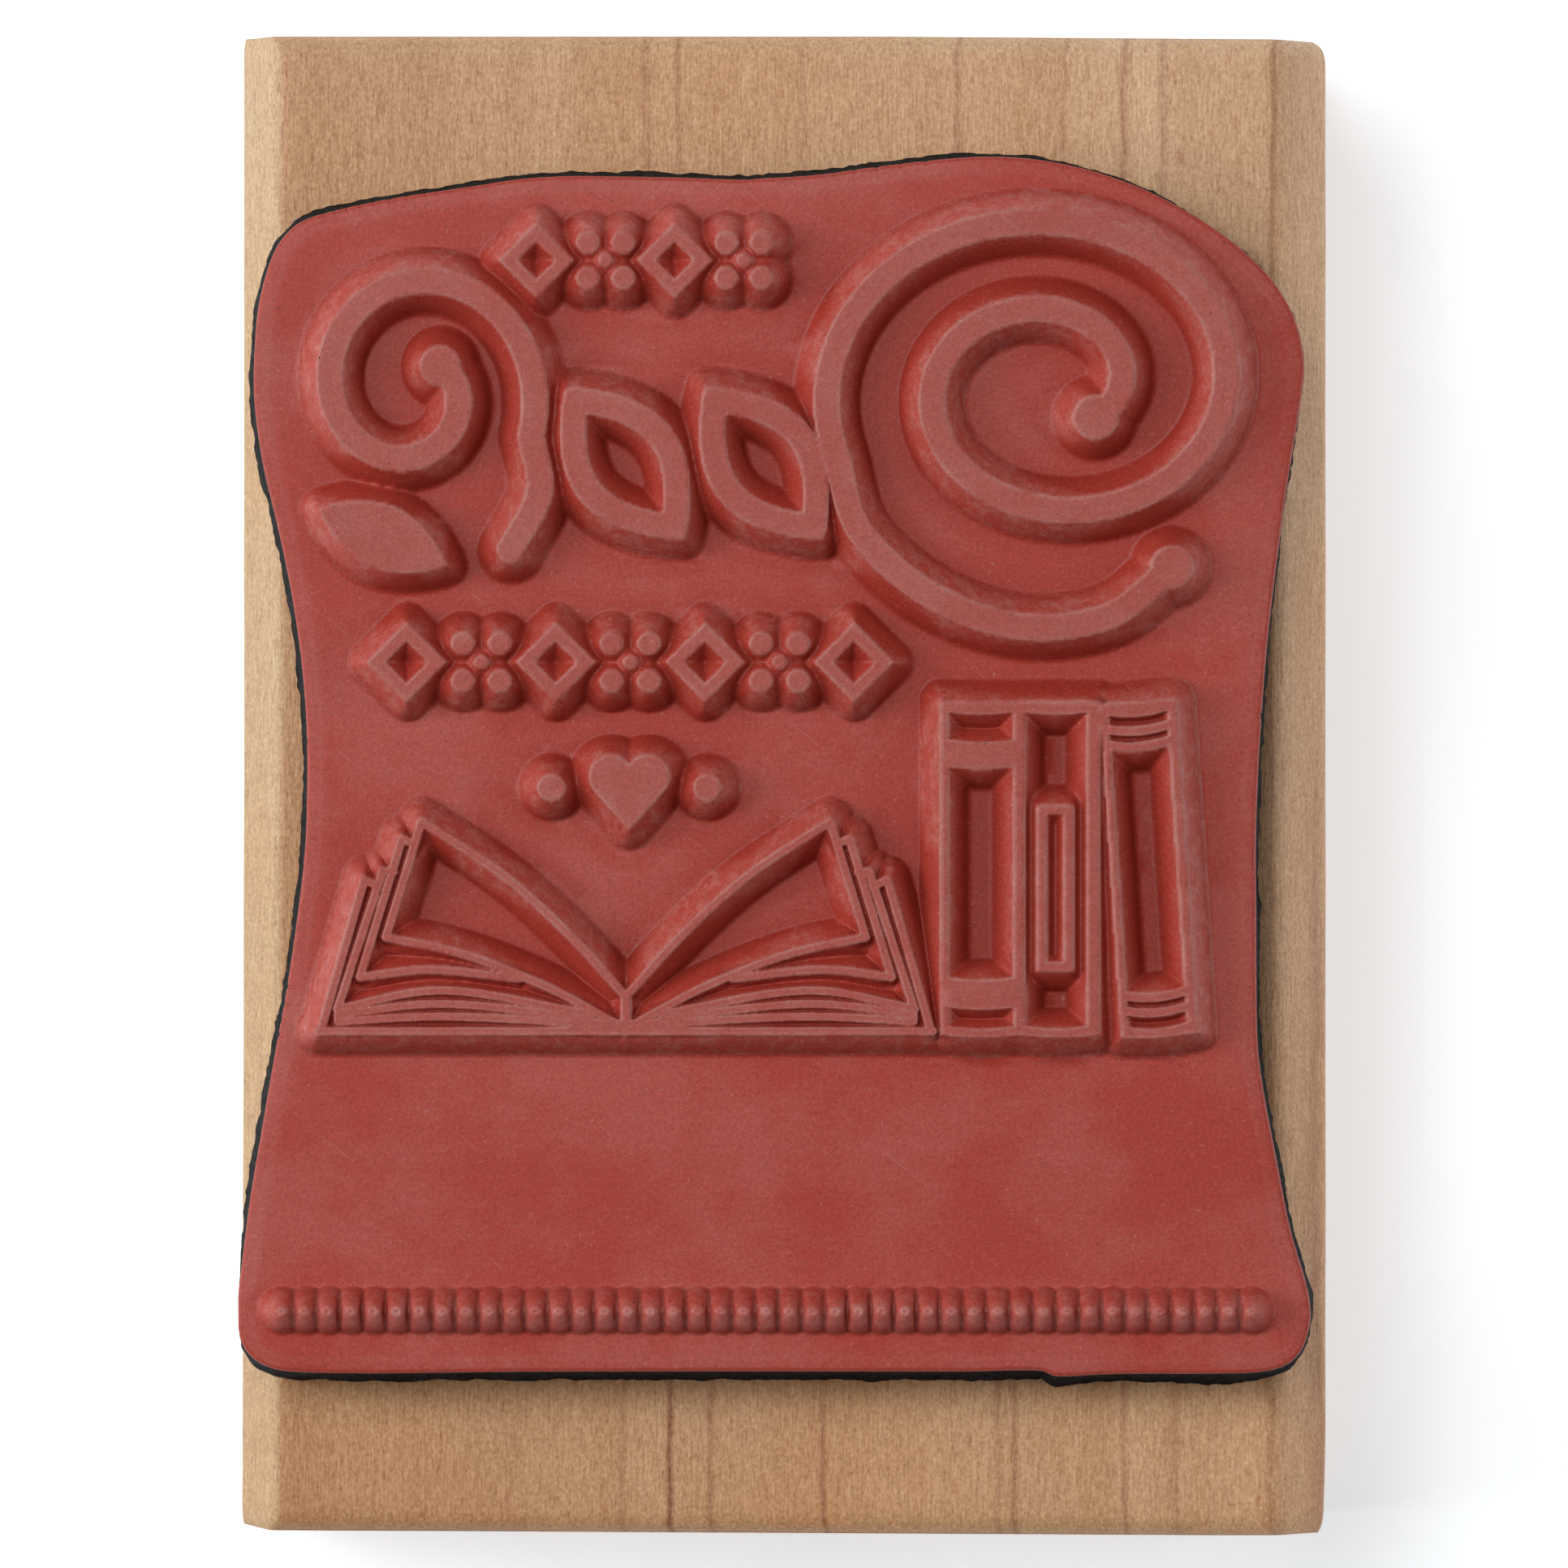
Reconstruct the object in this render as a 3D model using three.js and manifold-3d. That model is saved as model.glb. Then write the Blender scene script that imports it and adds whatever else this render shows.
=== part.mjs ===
// Wood-mounted rubber stamp, lying on its back with the printing die facing up.
// Millimetres. +Z is up, +Y runs along the grain of the block, X across it.
// The back of the block rests on z = 0 and the block is centred on x = y = 0.
import * as THREE from 'three';
import { ConvexGeometry } from 'three/addons/geometries/ConvexGeometry.js';
import { mergeVertices } from 'three/addons/utils/BufferGeometryUtils.js';
import Module from 'manifold-3d';

const wasm = await Module();
wasm.setup();

// Block: 2 x 2 3/4 in, from dressed 3/4 in stock.
const BLOCK_WIDTH = 50.8;
const BLOCK_LENGTH = 69.85;
const BLOCK_THICKNESS = 19.05;
const BEVEL_LEFT = 1.6;
const BEVEL_RIGHT = 2.25;
const BEVEL_DROP = 2.7;
const EDGE_RADIUS = 1.15;
const END_RADIUS = 1.0;
// Share of the end rounding that the upright corner edges get.
const CORNER_LEFT = 0.12;
const CORNER_RIGHT_FAR = 0.7;
const CORNER_RIGHT_NEAR = 0.28;
const COVE_DEPTH = 0.9;
const COVE_LOW_Z = 4.2;
const COVE_HIGH_Z = 12.8;

// Layers between the wood and the printing face.
const FILM_THICKNESS = 0.1;
const FOAM_THICKNESS = 3.0;
const FOAM_FLARE = 0.32;
const SHEET_THICKNESS = 1.1;
const SHEET_EDGE_ROUND = 0.22;
const RELIEF_HEIGHT = 1.5;
const SHOULDER = 0.95;

const MOUNT_FILM_Z = BLOCK_THICKNESS;
const FOAM_Z = MOUNT_FILM_Z + FILM_THICKNESS;
const DIE_FILM_Z = FOAM_Z + FOAM_THICKNESS;
const SHEET_Z = DIE_FILM_Z + FILM_THICKNESS;
const SHEET_TOP_Z = SHEET_Z + SHEET_THICKNESS;
const FACE_Z = SHEET_TOP_Z + RELIEF_HEIGHT;

// Raised lines: printing-face widths.
const SCROLL_WIDTH = 1.15;
const ORNAMENT_WIDTH = 0.55;
const BOOK_WIDTH = 0.34;
const GUTTER_WIDTH = 0.4;
const ROOT_DEPTH = 0.25;
// Slivers thinner than this, left where the raised shapes meet, are merged away.
const SLIVER = 0.01;
const LEAF_LENGTH = 8.8;
const LEAF_WIDTH = 5.3;

// Row of raised dots under the writing space.
const DOT_COUNT = 43;
const DOT_FIRST_X = -23.3;
const DOT_LAST_X = 21.6;
const DOT_Y = -24.35;
const DOT_RADIUS = 1.1;

// The die is cut by hand in two passes, which leaves a small step at each meeting point.
const CUT_RUN_RIGHT = [
  [-1.2, 28.15], [1.3, 28.3], [4.3, 28.7], [6.9, 29.0], [8.8, 29.15], [11.05, 29.1], [13.7, 28.65],
  [16.3, 27.8], [18.6, 26.65], [20.95, 25.05], [22.78, 23.2], [23.8, 21.25], [24.1, 19.3],
  [23.88, 17.5], [23.28, 13.75], [22.78, 10.0], [22.35, 6.25], [21.88, -1.3], [21.88, -6.9],
  [21.95, -12.2], [22.32, -14.8], [22.9, -17.8], [23.5, -20.8], [24.18, -23.1], [24.4, -24.6],
  [24.15, -25.8], [23.85, -26.4], [23.25, -26.9], [22.2, -27.2], [19.0, -27.3], [16.3, -27.3],
  [12.45, -27.4],
];
const CUT_RUN_LEFT = [
  [12.05, -27.2], [5.0, -27.2], [-10.0, -27.2], [-22.0, -27.25], [-23.6, -27.1], [-24.45, -26.75],
  [-25.05, -26.15], [-25.34, -25.3], [-25.36, -24.5], [-25.36, -23.6], [-25.25, -22.7], [-24.82, -19.3],
  [-24.25, -15.9], [-23.67, -12.55], [-23.0, -8.8], [-22.27, -3.15], [-22.17, -0.55], [-22.18, 2.5],
  [-22.4, 5.5], [-22.82, 8.5], [-23.41, 11.5], [-24.13, 14.5], [-24.44, 16.3], [-24.63, 18.25],
  [-24.6, 20.1], [-24.45, 22.0], [-24.12, 23.5], [-23.55, 25.0], [-22.6, 26.05], [-21.3, 26.55],
  [-18.25, 27.22], [-15.25, 27.67], [-11.5, 28.2], [-7.75, 28.25], [-1.6, 28.1],
];

const vec = (x, y) => new THREE.Vector2(x, y);

// ---- Solids from rings and hulls -------------------------------------------------------------

function signedVolume(geometry) {
  const p = geometry.attributes.position;
  const index = geometry.index.array;
  const [a, b, c] = [new THREE.Vector3(), new THREE.Vector3(), new THREE.Vector3()];
  let sum = 0;
  for (let i = 0; i < index.length; i += 3) {
    a.fromBufferAttribute(p, index[i]);
    b.fromBufferAttribute(p, index[i + 1]);
    c.fromBufferAttribute(p, index[i + 2]);
    sum += a.dot(b.cross(c)) / 6;
  }
  return sum;
}

// Closed skin through equal-length rings, with flat end caps taken from the plane outline.
function loft(rings, capOutlines) {
  const count = rings[0].length;
  const positions = rings.flat().flatMap((v) => [v.x, v.y, v.z]);
  const index = [];
  for (let k = 0; k + 1 < rings.length; k++) {
    for (let i = 0; i < count; i++) {
      const j = (i + 1) % count;
      const [a, b, c, d] = [k * count + i, k * count + j, (k + 1) * count + j, (k + 1) * count + i];
      index.push(a, b, c, a, c, d);
    }
  }
  const last = (rings.length - 1) * count;
  for (const [a, b, c] of THREE.ShapeUtils.triangulateShape(capOutlines[0], [])) index.push(a, c, b);
  for (const [a, b, c] of THREE.ShapeUtils.triangulateShape(capOutlines[1], [])) {
    index.push(last + a, last + b, last + c);
  }
  const geometry = new THREE.BufferGeometry();
  geometry.setAttribute('position', new THREE.Float32BufferAttribute(positions, 3));
  geometry.setIndex(index);
  if (signedVolume(geometry) < 0) {
    for (let i = 0; i < index.length; i += 3) [index[i], index[i + 1]] = [index[i + 1], index[i]];
    geometry.setIndex(index);
  }
  return geometry;
}

function toManifold(geometry) {
  const bare = geometry.clone();
  bare.deleteAttribute('normal');
  bare.deleteAttribute('uv');
  const merged = mergeVertices(bare, 1e-4);
  const index = merged.index.array;
  return new wasm.Manifold(new wasm.Mesh({
    numProp: 3,
    vertProperties: new Float32Array(merged.attributes.position.array),
    triVerts: new Uint32Array(index),
  }));
}

function fromManifold(solid) {
  const mesh = solid.getMesh();
  const geometry = new THREE.BufferGeometry();
  geometry.setAttribute('position', new THREE.Float32BufferAttribute(mesh.vertProperties, 3));
  geometry.setIndex(Array.from(mesh.triVerts));
  return geometry;
}

const hull = (points) => toManifold(new ConvexGeometry(points));

// ---- Wood block -------------------------------------------------------------------------------

function filleted(corners, steps) {
  const out = [];
  corners.forEach(([x, z, radius], i) => {
    const p = vec(x, z);
    const [px, pz] = corners[(i + corners.length - 1) % corners.length];
    const [nx, nz] = corners[(i + 1) % corners.length];
    const toPrev = vec(px, pz).sub(p).normalize();
    const toNext = vec(nx, nz).sub(p).normalize();
    const half = Math.acos(toPrev.dot(toNext)) / 2;
    const centre = toPrev.clone().add(toNext).normalize().multiplyScalar(radius / Math.sin(half)).add(p);
    const start = toPrev.clone().multiplyScalar(radius / Math.tan(half)).add(p).sub(centre);
    const sweep = toPrev.cross(toNext) < 0 ? Math.PI - 2 * half : 2 * half - Math.PI;
    for (let s = 0; s <= steps; s++) {
      out.push(start.clone().rotateAround(vec(0, 0), (sweep * s) / steps).add(centre));
    }
  });
  return out;
}

// Moves every point of a counter-clockwise outline outwards by `distance`.
function offsetOutline(points, distance) {
  const n = points.length;
  return points.map((p, i) => {
    const before = p.clone().sub(points[(i + n - 1) % n]).normalize();
    const after = points[(i + 1) % n].clone().sub(p).normalize();
    const normal = vec(before.y + after.y, -before.x - after.x).normalize();
    const stretch = 1 / Math.max(0.5, normal.dot(vec(after.y, -after.x)));
    return normal.multiplyScalar(distance * stretch).add(p);
  });
}

function blockProfile() {
  const x = BLOCK_WIDTH / 2;
  const mid = (COVE_LOW_Z + COVE_HIGH_Z) / 2;
  const top = BLOCK_THICKNESS;
  return filleted([
    [-x, 0, EDGE_RADIUS], [x, 0, EDGE_RADIUS],
    [x, COVE_LOW_Z, 2.2], [x - COVE_DEPTH, mid, 9], [x, COVE_HIGH_Z, 2.2],
    [x, top - BEVEL_DROP, EDGE_RADIUS], [x - BEVEL_RIGHT, top, EDGE_RADIUS],
    [-x + BEVEL_LEFT, top, EDGE_RADIUS], [-x, top - BEVEL_DROP, EDGE_RADIUS],
    [-x, COVE_HIGH_Z, 2.2], [-x + COVE_DEPTH, mid, 9], [-x, COVE_LOW_Z, 2.2],
  ], 5);
}

function cornerShare(x, end) {
  if (x < 0) return CORNER_LEFT;
  return end > 0 ? CORNER_RIGHT_FAR : CORNER_RIGHT_NEAR;
}

function woodBlock() {
  const profile = blockProfile();
  const rings = [];
  const caps = [];
  const steps = 5;
  for (const end of [-1, 1]) {
    for (let s = 0; s <= steps; s++) {
      const angle = ((end < 0 ? s : steps - s) / steps) * (Math.PI / 2);
      const section = offsetOutline(profile, -END_RADIUS * (1 - Math.sin(angle))).map((p, i) => {
        const { x } = profile[i];
        return vec(THREE.MathUtils.lerp(x, p.x, cornerShare(x, end)), p.y);
      });
      const y = end * (BLOCK_LENGTH / 2 - END_RADIUS * (1 - Math.cos(angle)));
      rings.push(section.map((p) => new THREE.Vector3(p.x, y, p.y)));
      if (angle === 0) caps.push(section);
    }
  }
  return loft(rings, caps);
}

// ---- Layers cut to the outline of the die -----------------------------------------------------

function dieOutline() {
  const runs = [[CUT_RUN_RIGHT, 54], [CUT_RUN_LEFT, 62]].map(([run, samples]) => {
    const points = run.map(([x, y]) => new THREE.Vector3(x, y, 0));
    return new THREE.CatmullRomCurve3(points, false, 'centripetal').getPoints(samples);
  });
  return runs.flat().map((p) => vec(p.x, p.y)).reverse();
}

// A layer of the given outline; `levels` lists [z, outward offset] from the foot upwards.
function layer(outline, levels) {
  const limit = BLOCK_WIDTH / 2 - 0.02;
  const outlines = levels.map(([, offset]) => {
    const moved = offset === 0 ? outline : offsetOutline(outline, offset);
    return moved.map((p) => vec(THREE.MathUtils.clamp(p.x, -limit, limit), p.y));
  });
  const rings = outlines.map((line, k) => line.map((p) => new THREE.Vector3(p.x, p.y, levels[k][0])));
  return loft(rings, [outlines[0], outlines[outlines.length - 1]]);
}

// ---- Raised design ----------------------------------------------------------------------------

const ROOT_Z = SHEET_TOP_Z - ROOT_DEPTH;
const ROOT_SPREAD = SHOULDER * (1 + ROOT_DEPTH / RELIEF_HEIGHT);

const at = (p, z) => new THREE.Vector3(p.x, p.y, z);
const turned = (degrees, length) => vec(length, 0).rotateAround(vec(0, 0), THREE.MathUtils.degToRad(degrees));

// A convex raised piece with the given counter-clockwise printing face.
function plateau(outline) {
  const points = outline.map((p) => at(p, FACE_Z));
  outline.forEach((p, i) => {
    const before = p.clone().sub(outline[(i + outline.length - 1) % outline.length]);
    const after = outline[(i + 1) % outline.length].clone().sub(p);
    const from = THREE.MathUtils.radToDeg(before.angle()) - 90;
    const turn = (THREE.MathUtils.radToDeg(after.angle()) - 90 - from + 720) % 360;
    const steps = Math.max(1, Math.round(turn / 30));
    for (let s = 0; s <= steps; s++) {
      points.push(at(turned(from + (turn * s) / steps, ROOT_SPREAD).add(p), ROOT_Z));
    }
  });
  return hull(points);
}

// A sloping-sided hollow inside a printing face; narrow ones end in a shallow groove.
function pit(outline, halfWidth) {
  const inset = Math.min(SHOULDER, halfWidth - 0.04);
  const drop = (RELIEF_HEIGHT * inset) / SHOULDER;
  const above = 0.3;
  const mouth = offsetOutline(outline, (above * SHOULDER) / RELIEF_HEIGHT);
  const floor = offsetOutline(outline, -inset);
  return hull([...mouth.map((p) => at(p, FACE_Z + above)), ...floor.map((p) => at(p, FACE_Z - drop))]);
}

// A round raised stud.
function stud(centre, radius, sides = 12) {
  const points = [];
  for (let i = 0; i < sides; i++) {
    const angle = (360 * (i + 0.5)) / sides;
    points.push(at(turned(angle, radius).add(centre), FACE_Z));
    points.push(at(turned(angle, radius + ROOT_SPREAD).add(centre), ROOT_Z));
  }
  return hull(points);
}

// Closed outline around a centre line, with round ends, at the given half width.
function aroundLine(points, half) {
  const normals = points.map((p, i) => {
    const before = points[Math.max(i - 1, 0)];
    const after = points[Math.min(i + 1, points.length - 1)];
    return THREE.MathUtils.radToDeg(after.clone().sub(before).angle()) - 90;
  });
  const last = points.length - 1;
  const out = points.map((p, i) => turned(normals[i], half).add(p));
  for (let s = 1; s < 5; s++) out.push(turned(normals[last] + 36 * s, half).add(points[last]));
  for (let i = last; i >= 0; i--) out.push(turned(normals[i] + 180, half).add(points[i]));
  for (let s = 1; s < 5; s++) out.push(turned(normals[0] + 180 + 36 * s, half).add(points[0]));
  return out;
}

// A raised line: flat printing face of the given width, shoulders sloping down into the sheet.
function ribbon(points, width) {
  const face = aroundLine(points, width / 2);
  const root = aroundLine(points, width / 2 + ROOT_SPREAD);
  return toManifold(loft([root.map((p) => at(p, ROOT_Z)), face.map((p) => at(p, FACE_Z))], [root, face]));
}

function smooth(list, samples) {
  const points = list.map(([x, y]) => new THREE.Vector3(x, y, 0));
  const curve = new THREE.CatmullRomCurve3(points, false, 'centripetal');
  return curve.getSpacedPoints(samples).map((p) => vec(p.x, p.y));
}

// A shrinking scroll: turns from `from` to `to` degrees while its radii fall to `inner` of full.
function volute(centre, radiusX, radiusY, from, to, inner, samples) {
  const points = [];
  for (let i = 0; i <= samples; i++) {
    const t = i / samples;
    const spread = turned(from + (to - from) * t, 1 + (inner - 1) * t);
    points.push(vec(centre.x + radiusX * spread.x, centre.y + radiusY * spread.y));
  }
  return points;
}

// Pointed leaf outline, counter-clockwise.
function leaf(centre, length, width, degrees) {
  const points = [];
  for (let i = 0; i < 20; i++) {
    const t = i / 10;
    const across = Math.sign(t - 1) * Math.abs(Math.sin(Math.PI * t)) ** 0.85;
    const along = 0.5 - Math.abs(1 - t);
    points.push(vec(along * length, (across * width) / 2)
      .rotateAround(vec(0, 0), THREE.MathUtils.degToRad(degrees)).add(centre));
  }
  return points;
}

function hollowLeaf(centre, degrees) {
  const inner = leaf(centre, LEAF_LENGTH - 2.6 * SCROLL_WIDTH, LEAF_WIDTH - 2 * SCROLL_WIDTH, degrees);
  return plateau(leaf(centre, LEAF_LENGTH, LEAF_WIDTH, degrees))
    .subtract(pit(inner, LEAF_WIDTH / 2 - SCROLL_WIDTH));
}

function scrollwork() {
  const large = volute(vec(12.4, 18.4), 10.7, 8.9, 200, -400, 0.24, 42);
  const tail = smooth([[2.35, 15.36], [3.4, 11.9], [6.6, 8.9], [11.0, 7.35], [15.1, 7.9], [17.9, 10.1]], 12);
  const small = volute(vec(-17.2, 18.3), 5.8, 6.2, -20, 400, 0.28, 24);
  const stem = smooth([[-11.75, 16.18], [-11.35, 13.6], [-12.7, 10.9]], 4);
  return [
    ribbon(large, SCROLL_WIDTH), stud(large[42], 1.0),
    ribbon(tail, SCROLL_WIDTH), stud(tail[12], 0.95),
    ribbon(small, SCROLL_WIDTH), stud(small[24], 0.9), ribbon(stem, SCROLL_WIDTH),
    hollowLeaf(vec(-7.4, 14.9), -52), hollowLeaf(vec(-0.95, 14.9), -52),
    plateau(leaf(vec(-18.6, 11.5), 6.4, 2.9, -24)),
  ];
}

function diamond(centre, reach) {
  const square = (size) => [0, 90, 180, 270].map((degrees) => turned(degrees, size).add(centre));
  const inner = reach - 2 * ORNAMENT_WIDTH * Math.SQRT1_2;
  return [plateau(square(reach)).subtract(pit(square(inner), inner * Math.SQRT1_2))];
}

function blossom(centre, reach) {
  const petals = [45, 135, 225, 315].map((degrees) => stud(turned(degrees, reach).add(centre), 0.5, 10));
  return [...petals, stud(centre, 0.3, 10)];
}

function ornamentRow(firstX, y, pitch, count, reach) {
  const pieces = [];
  for (let i = 0; i < count; i++) {
    const centre = vec(firstX + i * pitch, y);
    pieces.push(...(i % 2 === 0 ? diamond(centre, reach) : blossom(centre, reach * 0.68)));
  }
  return pieces;
}

function heart(centre) {
  return [-1, 1].map((side) => {
    const lobe = [];
    for (let degrees = -40; degrees <= 200; degrees += 24) {
      lobe.push(turned(degrees, 0.98).add(vec(0.86, 0.62)));
    }
    lobe.push(vec(0, -1.85));
    const outline = lobe.map((p) => vec(side * p.x, p.y).add(centre));
    return plateau(side > 0 ? outline : outline.reverse());
  });
}

function smallMotifs() {
  return [
    ...ornamentRow(-11.5, 24.3, 3.2, 4, 1.7),
    ...ornamentRow(-17.5, 5.7, 3.45, 7, 1.8),
    ...heart(vec(-7.2, -0.2)),
    stud(vec(-10.8, -0.1), 0.6), stud(vec(-3.6, -0.1), 0.6),
  ];
}

// Open book seen from the front, one half mirrored about the gutter: cover, page edges and pages.
function openBook() {
  const [x0, y0] = [-7.35, -11.38];
  const pieces = [
    ribbon([vec(x0 - 14.2, y0), vec(x0 + 14.2, y0)], BOOK_WIDTH),
    ribbon([vec(x0, y0), vec(x0, y0 + 1.7)], GUTTER_WIDTH),
  ];
  for (const side of [-1, 1]) {
    const place = ([x, y]) => [x0 - side * x, y0 + y];
    const line = (...list) => ribbon(list.map(place).map(([x, y]) => vec(x, y)), BOOK_WIDTH);
    const curve = (...list) => ribbon(smooth(list.map(place), 7), BOOK_WIDTH);
    pieces.push(
      line([-14.1, 0.05], [-12.1, 7.0]), line([-12.1, 7.0], [-11.5, 6.75]),
      line([-13.35, 1.0], [-11.25, 7.4]), line([-11.25, 7.4], [-10.75, 7.35]),
      line([-12.3, 2.5], [-10.35, 8.9]), line([-10.35, 8.9], [-9.85, 8.7]),
      line([-11.1, 4.35], [-9.45, 9.7]), line([-13.3, 0.5], [-13.3, 1.0]),
      curve([-9.45, 9.7], [-5.65, 7.2], [-2.65, 4.5], [0, 1.6]),
      curve([-11.1, 4.35], [-7.65, 3.6], [-3.65, 2.05], [-0.35, 0.3]),
      curve([-12.3, 2.5], [-9.2, 2.85], [-4.95, 2.45]),
      curve([-13.3, 1.05], [-8.65, 1.88], [-1.65, 0.8]),
      curve([-13.3, 0.78], [-8.65, 1.26], [-1.65, 0.6]),
      curve([-13.3, 0.45], [-8.65, 0.68], [-1.65, 0.36]),
    );
  }
  return pieces;
}

// Three book spines; the last one leans.
function bookSpines() {
  const [x0, y0] = [7.4, -11.65];
  const place = (list) => list.map(([x, y]) => vec(x0 + x, y0 + y));
  const panel = (left, bottom, right, top) => {
    return pit(place([[left, bottom], [right, bottom], [right, top], [left, top]]),
      Math.min(right - left, top - bottom) / 2);
  };
  const pair = plateau(place([[-0.2, 0.05], [7.15, 0.05], [7.15, 15.55], [-0.2, 15.55]]))
    .subtract(panel(0.15, 13.7, 3.2, 15.0)).subtract(panel(0.15, 2.65, 3.2, 12.45))
    .subtract(panel(0.2, 0.42, 3.25, 1.35)).subtract(panel(3.7, 0.42, 6.6, 15.0));
  const label = plateau(place([[4.25, 3.05], [5.95, 3.05], [5.95, 10.7], [4.25, 10.7]]))
    .subtract(panel(4.68, 3.45, 5.52, 10.32));
  const lean = (y, x) => [8.2 - y / 15.5 + x, y];
  const rise = 0.25;
  const slot = (low, high) => {
    return pit(place([lean(low, 0.3), lean(low + rise, 3.1), lean(high + rise, 3.1), lean(high, 0.3)]),
      Math.min(2.8, high - low) / 2);
  };
  const leaning = plateau(place([lean(0, 0), lean(rise, 3.5), lean(15.65, 3.5), lean(15.4, 0)]))
    .subtract(slot(14.45, 14.8)).subtract(slot(13.7, 13.9)).subtract(slot(2.05, 13.2))
    .subtract(slot(1.4, 1.58)).subtract(slot(0.45, 0.95));
  return [pair, label, leaning];
}

function dottedRule() {
  const levels = [[ROOT_Z, 1.08], [SHEET_TOP_Z + 0.85, 0.64], [FACE_Z, 0.2]];
  const pieces = [];
  for (let i = 0; i < DOT_COUNT; i++) {
    const centre = vec(DOT_FIRST_X + ((DOT_LAST_X - DOT_FIRST_X) * i) / (DOT_COUNT - 1), DOT_Y);
    const points = levels.flatMap(([z, scale]) => {
      return [...Array(8).keys()].map((k) => at(turned(45 * k, DOT_RADIUS * scale).add(centre), z));
    });
    pieces.push(hull(points));
  }
  return pieces;
}

function rubberDie(outline) {
  const sheet = toManifold(layer(outline, [
    [SHEET_Z, 0], [SHEET_TOP_Z - SHEET_EDGE_ROUND, 0], [SHEET_TOP_Z, -SHEET_EDGE_ROUND],
  ]));
  const raised = [...scrollwork(), ...smallMotifs(), ...openBook(), ...bookSpines(), ...dottedRule()];
  const solid = raised.reduce((whole, piece) => whole.add(piece), sheet);
  const [largest] = solid.simplify(SLIVER).decompose().sort((p, q) => q.volume() - p.volume());
  return fromManifold(largest);
}

// ---- Assembly ---------------------------------------------------------------------------------

function part(name, geometry, color, roughness) {
  const material = new THREE.MeshStandardMaterial({ color, roughness, metalness: 0, name: `${name}_finish` });
  geometry.computeVertexNormals();
  const mesh = new THREE.Mesh(geometry, material);
  mesh.name = name;
  return mesh;
}

const outline = dieOutline();
const stamp = new THREE.Group();
stamp.name = 'rubber_stamp';
stamp.add(
  part('wood_block', woodBlock(), 0xc8a27c, 0.75),
  part('mounting_adhesive_film', layer(outline, [[MOUNT_FILM_Z, 0.1], [FOAM_Z, 0.1]]), 0x4a3526, 0.5),
  part('foam_cushion', layer(outline, [
    [FOAM_Z, FOAM_FLARE], [FOAM_Z + FOAM_THICKNESS / 2, 0.1], [DIE_FILM_Z, 0],
  ]), 0x1c1c1e, 0.95),
  part('die_adhesive_film', layer(outline, [[DIE_FILM_Z, 0], [SHEET_Z, 0]]), 0xb8a68c, 0.5),
  part('rubber_die', rubberDie(outline), 0xa6483c, 0.6),
);

export default stamp;
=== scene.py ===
"""Looks for a wood-mounted rubber stamp that lies on its back with the rubber die facing up.

Shapes are worked out in millimetres and stored in metres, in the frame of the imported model.
"""

import math

import bpy
import numpy as np
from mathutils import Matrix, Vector


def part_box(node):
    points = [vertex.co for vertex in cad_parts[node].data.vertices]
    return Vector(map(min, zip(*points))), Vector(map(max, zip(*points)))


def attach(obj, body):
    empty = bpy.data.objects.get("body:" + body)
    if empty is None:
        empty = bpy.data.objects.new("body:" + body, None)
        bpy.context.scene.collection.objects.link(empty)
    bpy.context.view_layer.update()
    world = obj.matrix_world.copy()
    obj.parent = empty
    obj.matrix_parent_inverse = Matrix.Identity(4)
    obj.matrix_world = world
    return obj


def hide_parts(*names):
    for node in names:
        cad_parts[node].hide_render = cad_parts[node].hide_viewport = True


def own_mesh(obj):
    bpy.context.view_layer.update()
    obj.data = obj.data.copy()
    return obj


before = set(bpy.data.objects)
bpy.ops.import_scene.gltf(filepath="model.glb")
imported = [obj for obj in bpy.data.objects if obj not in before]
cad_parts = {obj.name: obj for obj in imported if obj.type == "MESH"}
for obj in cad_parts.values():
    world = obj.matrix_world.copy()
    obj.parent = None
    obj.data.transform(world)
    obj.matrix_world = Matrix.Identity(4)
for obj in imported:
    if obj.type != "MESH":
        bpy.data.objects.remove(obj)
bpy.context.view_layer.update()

MM = 0.001


def box_mm(node):
    low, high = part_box(node)
    return np.array(low) / MM, np.array(high) / MM


wood_low, wood_high = box_mm("wood_block")
foam_low, foam_high = box_mm("foam_cushion")
die_low, die_high = box_mm("rubber_die")

# Raised design, in mm. Each curve is the share of a slope's fall that grows with the cube of the way down.
# The rim profile is the (outward, up) steps of the sheet's rounded top edge.
RELIEF = 1.5
SHOULDER = 0.95
SHOULDER_CURVE = 0.28
FOOT_FILLET = 0.05
GROOVE_WIDTH = 0.55
GROOVE_STEEPNESS = 2.0
SHEET_TOP = die_high[2] - RELIEF
EDGE_ROUND = 0.22
EDGE_DROOP = 0.07
DROOP_WIDTH = 1.1
RIM_PROFILE = ((0.08, -0.015), (0.15, -0.05), (0.2, -0.12), (EDGE_ROUND, -0.22))
SCROLL_WIDTH = 1.15
ORNAMENT_WIDTH = 0.55
BOOK_WIDTH = 0.34
GUTTER_WIDTH = 0.4
LEAF_LENGTH = 8.8
LEAF_WIDTH = 5.3
DOT_COUNT = 43
DOT_FIRST_X = -23.3
DOT_LAST_X = 21.6
DOT_Y = -24.35
DOT_RADIUS = 1.1
DOT_FLAT = 0.17 * DOT_RADIUS
DOT_CURVE = 0.38
DOT_FILLET = 0.06
DIMPLE_DEPTH = 0.05
DIMPLE_RADIUS = 0.13
SEAM_DEPTH = 0.22
SEAM_WIDTH = 0.1

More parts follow.
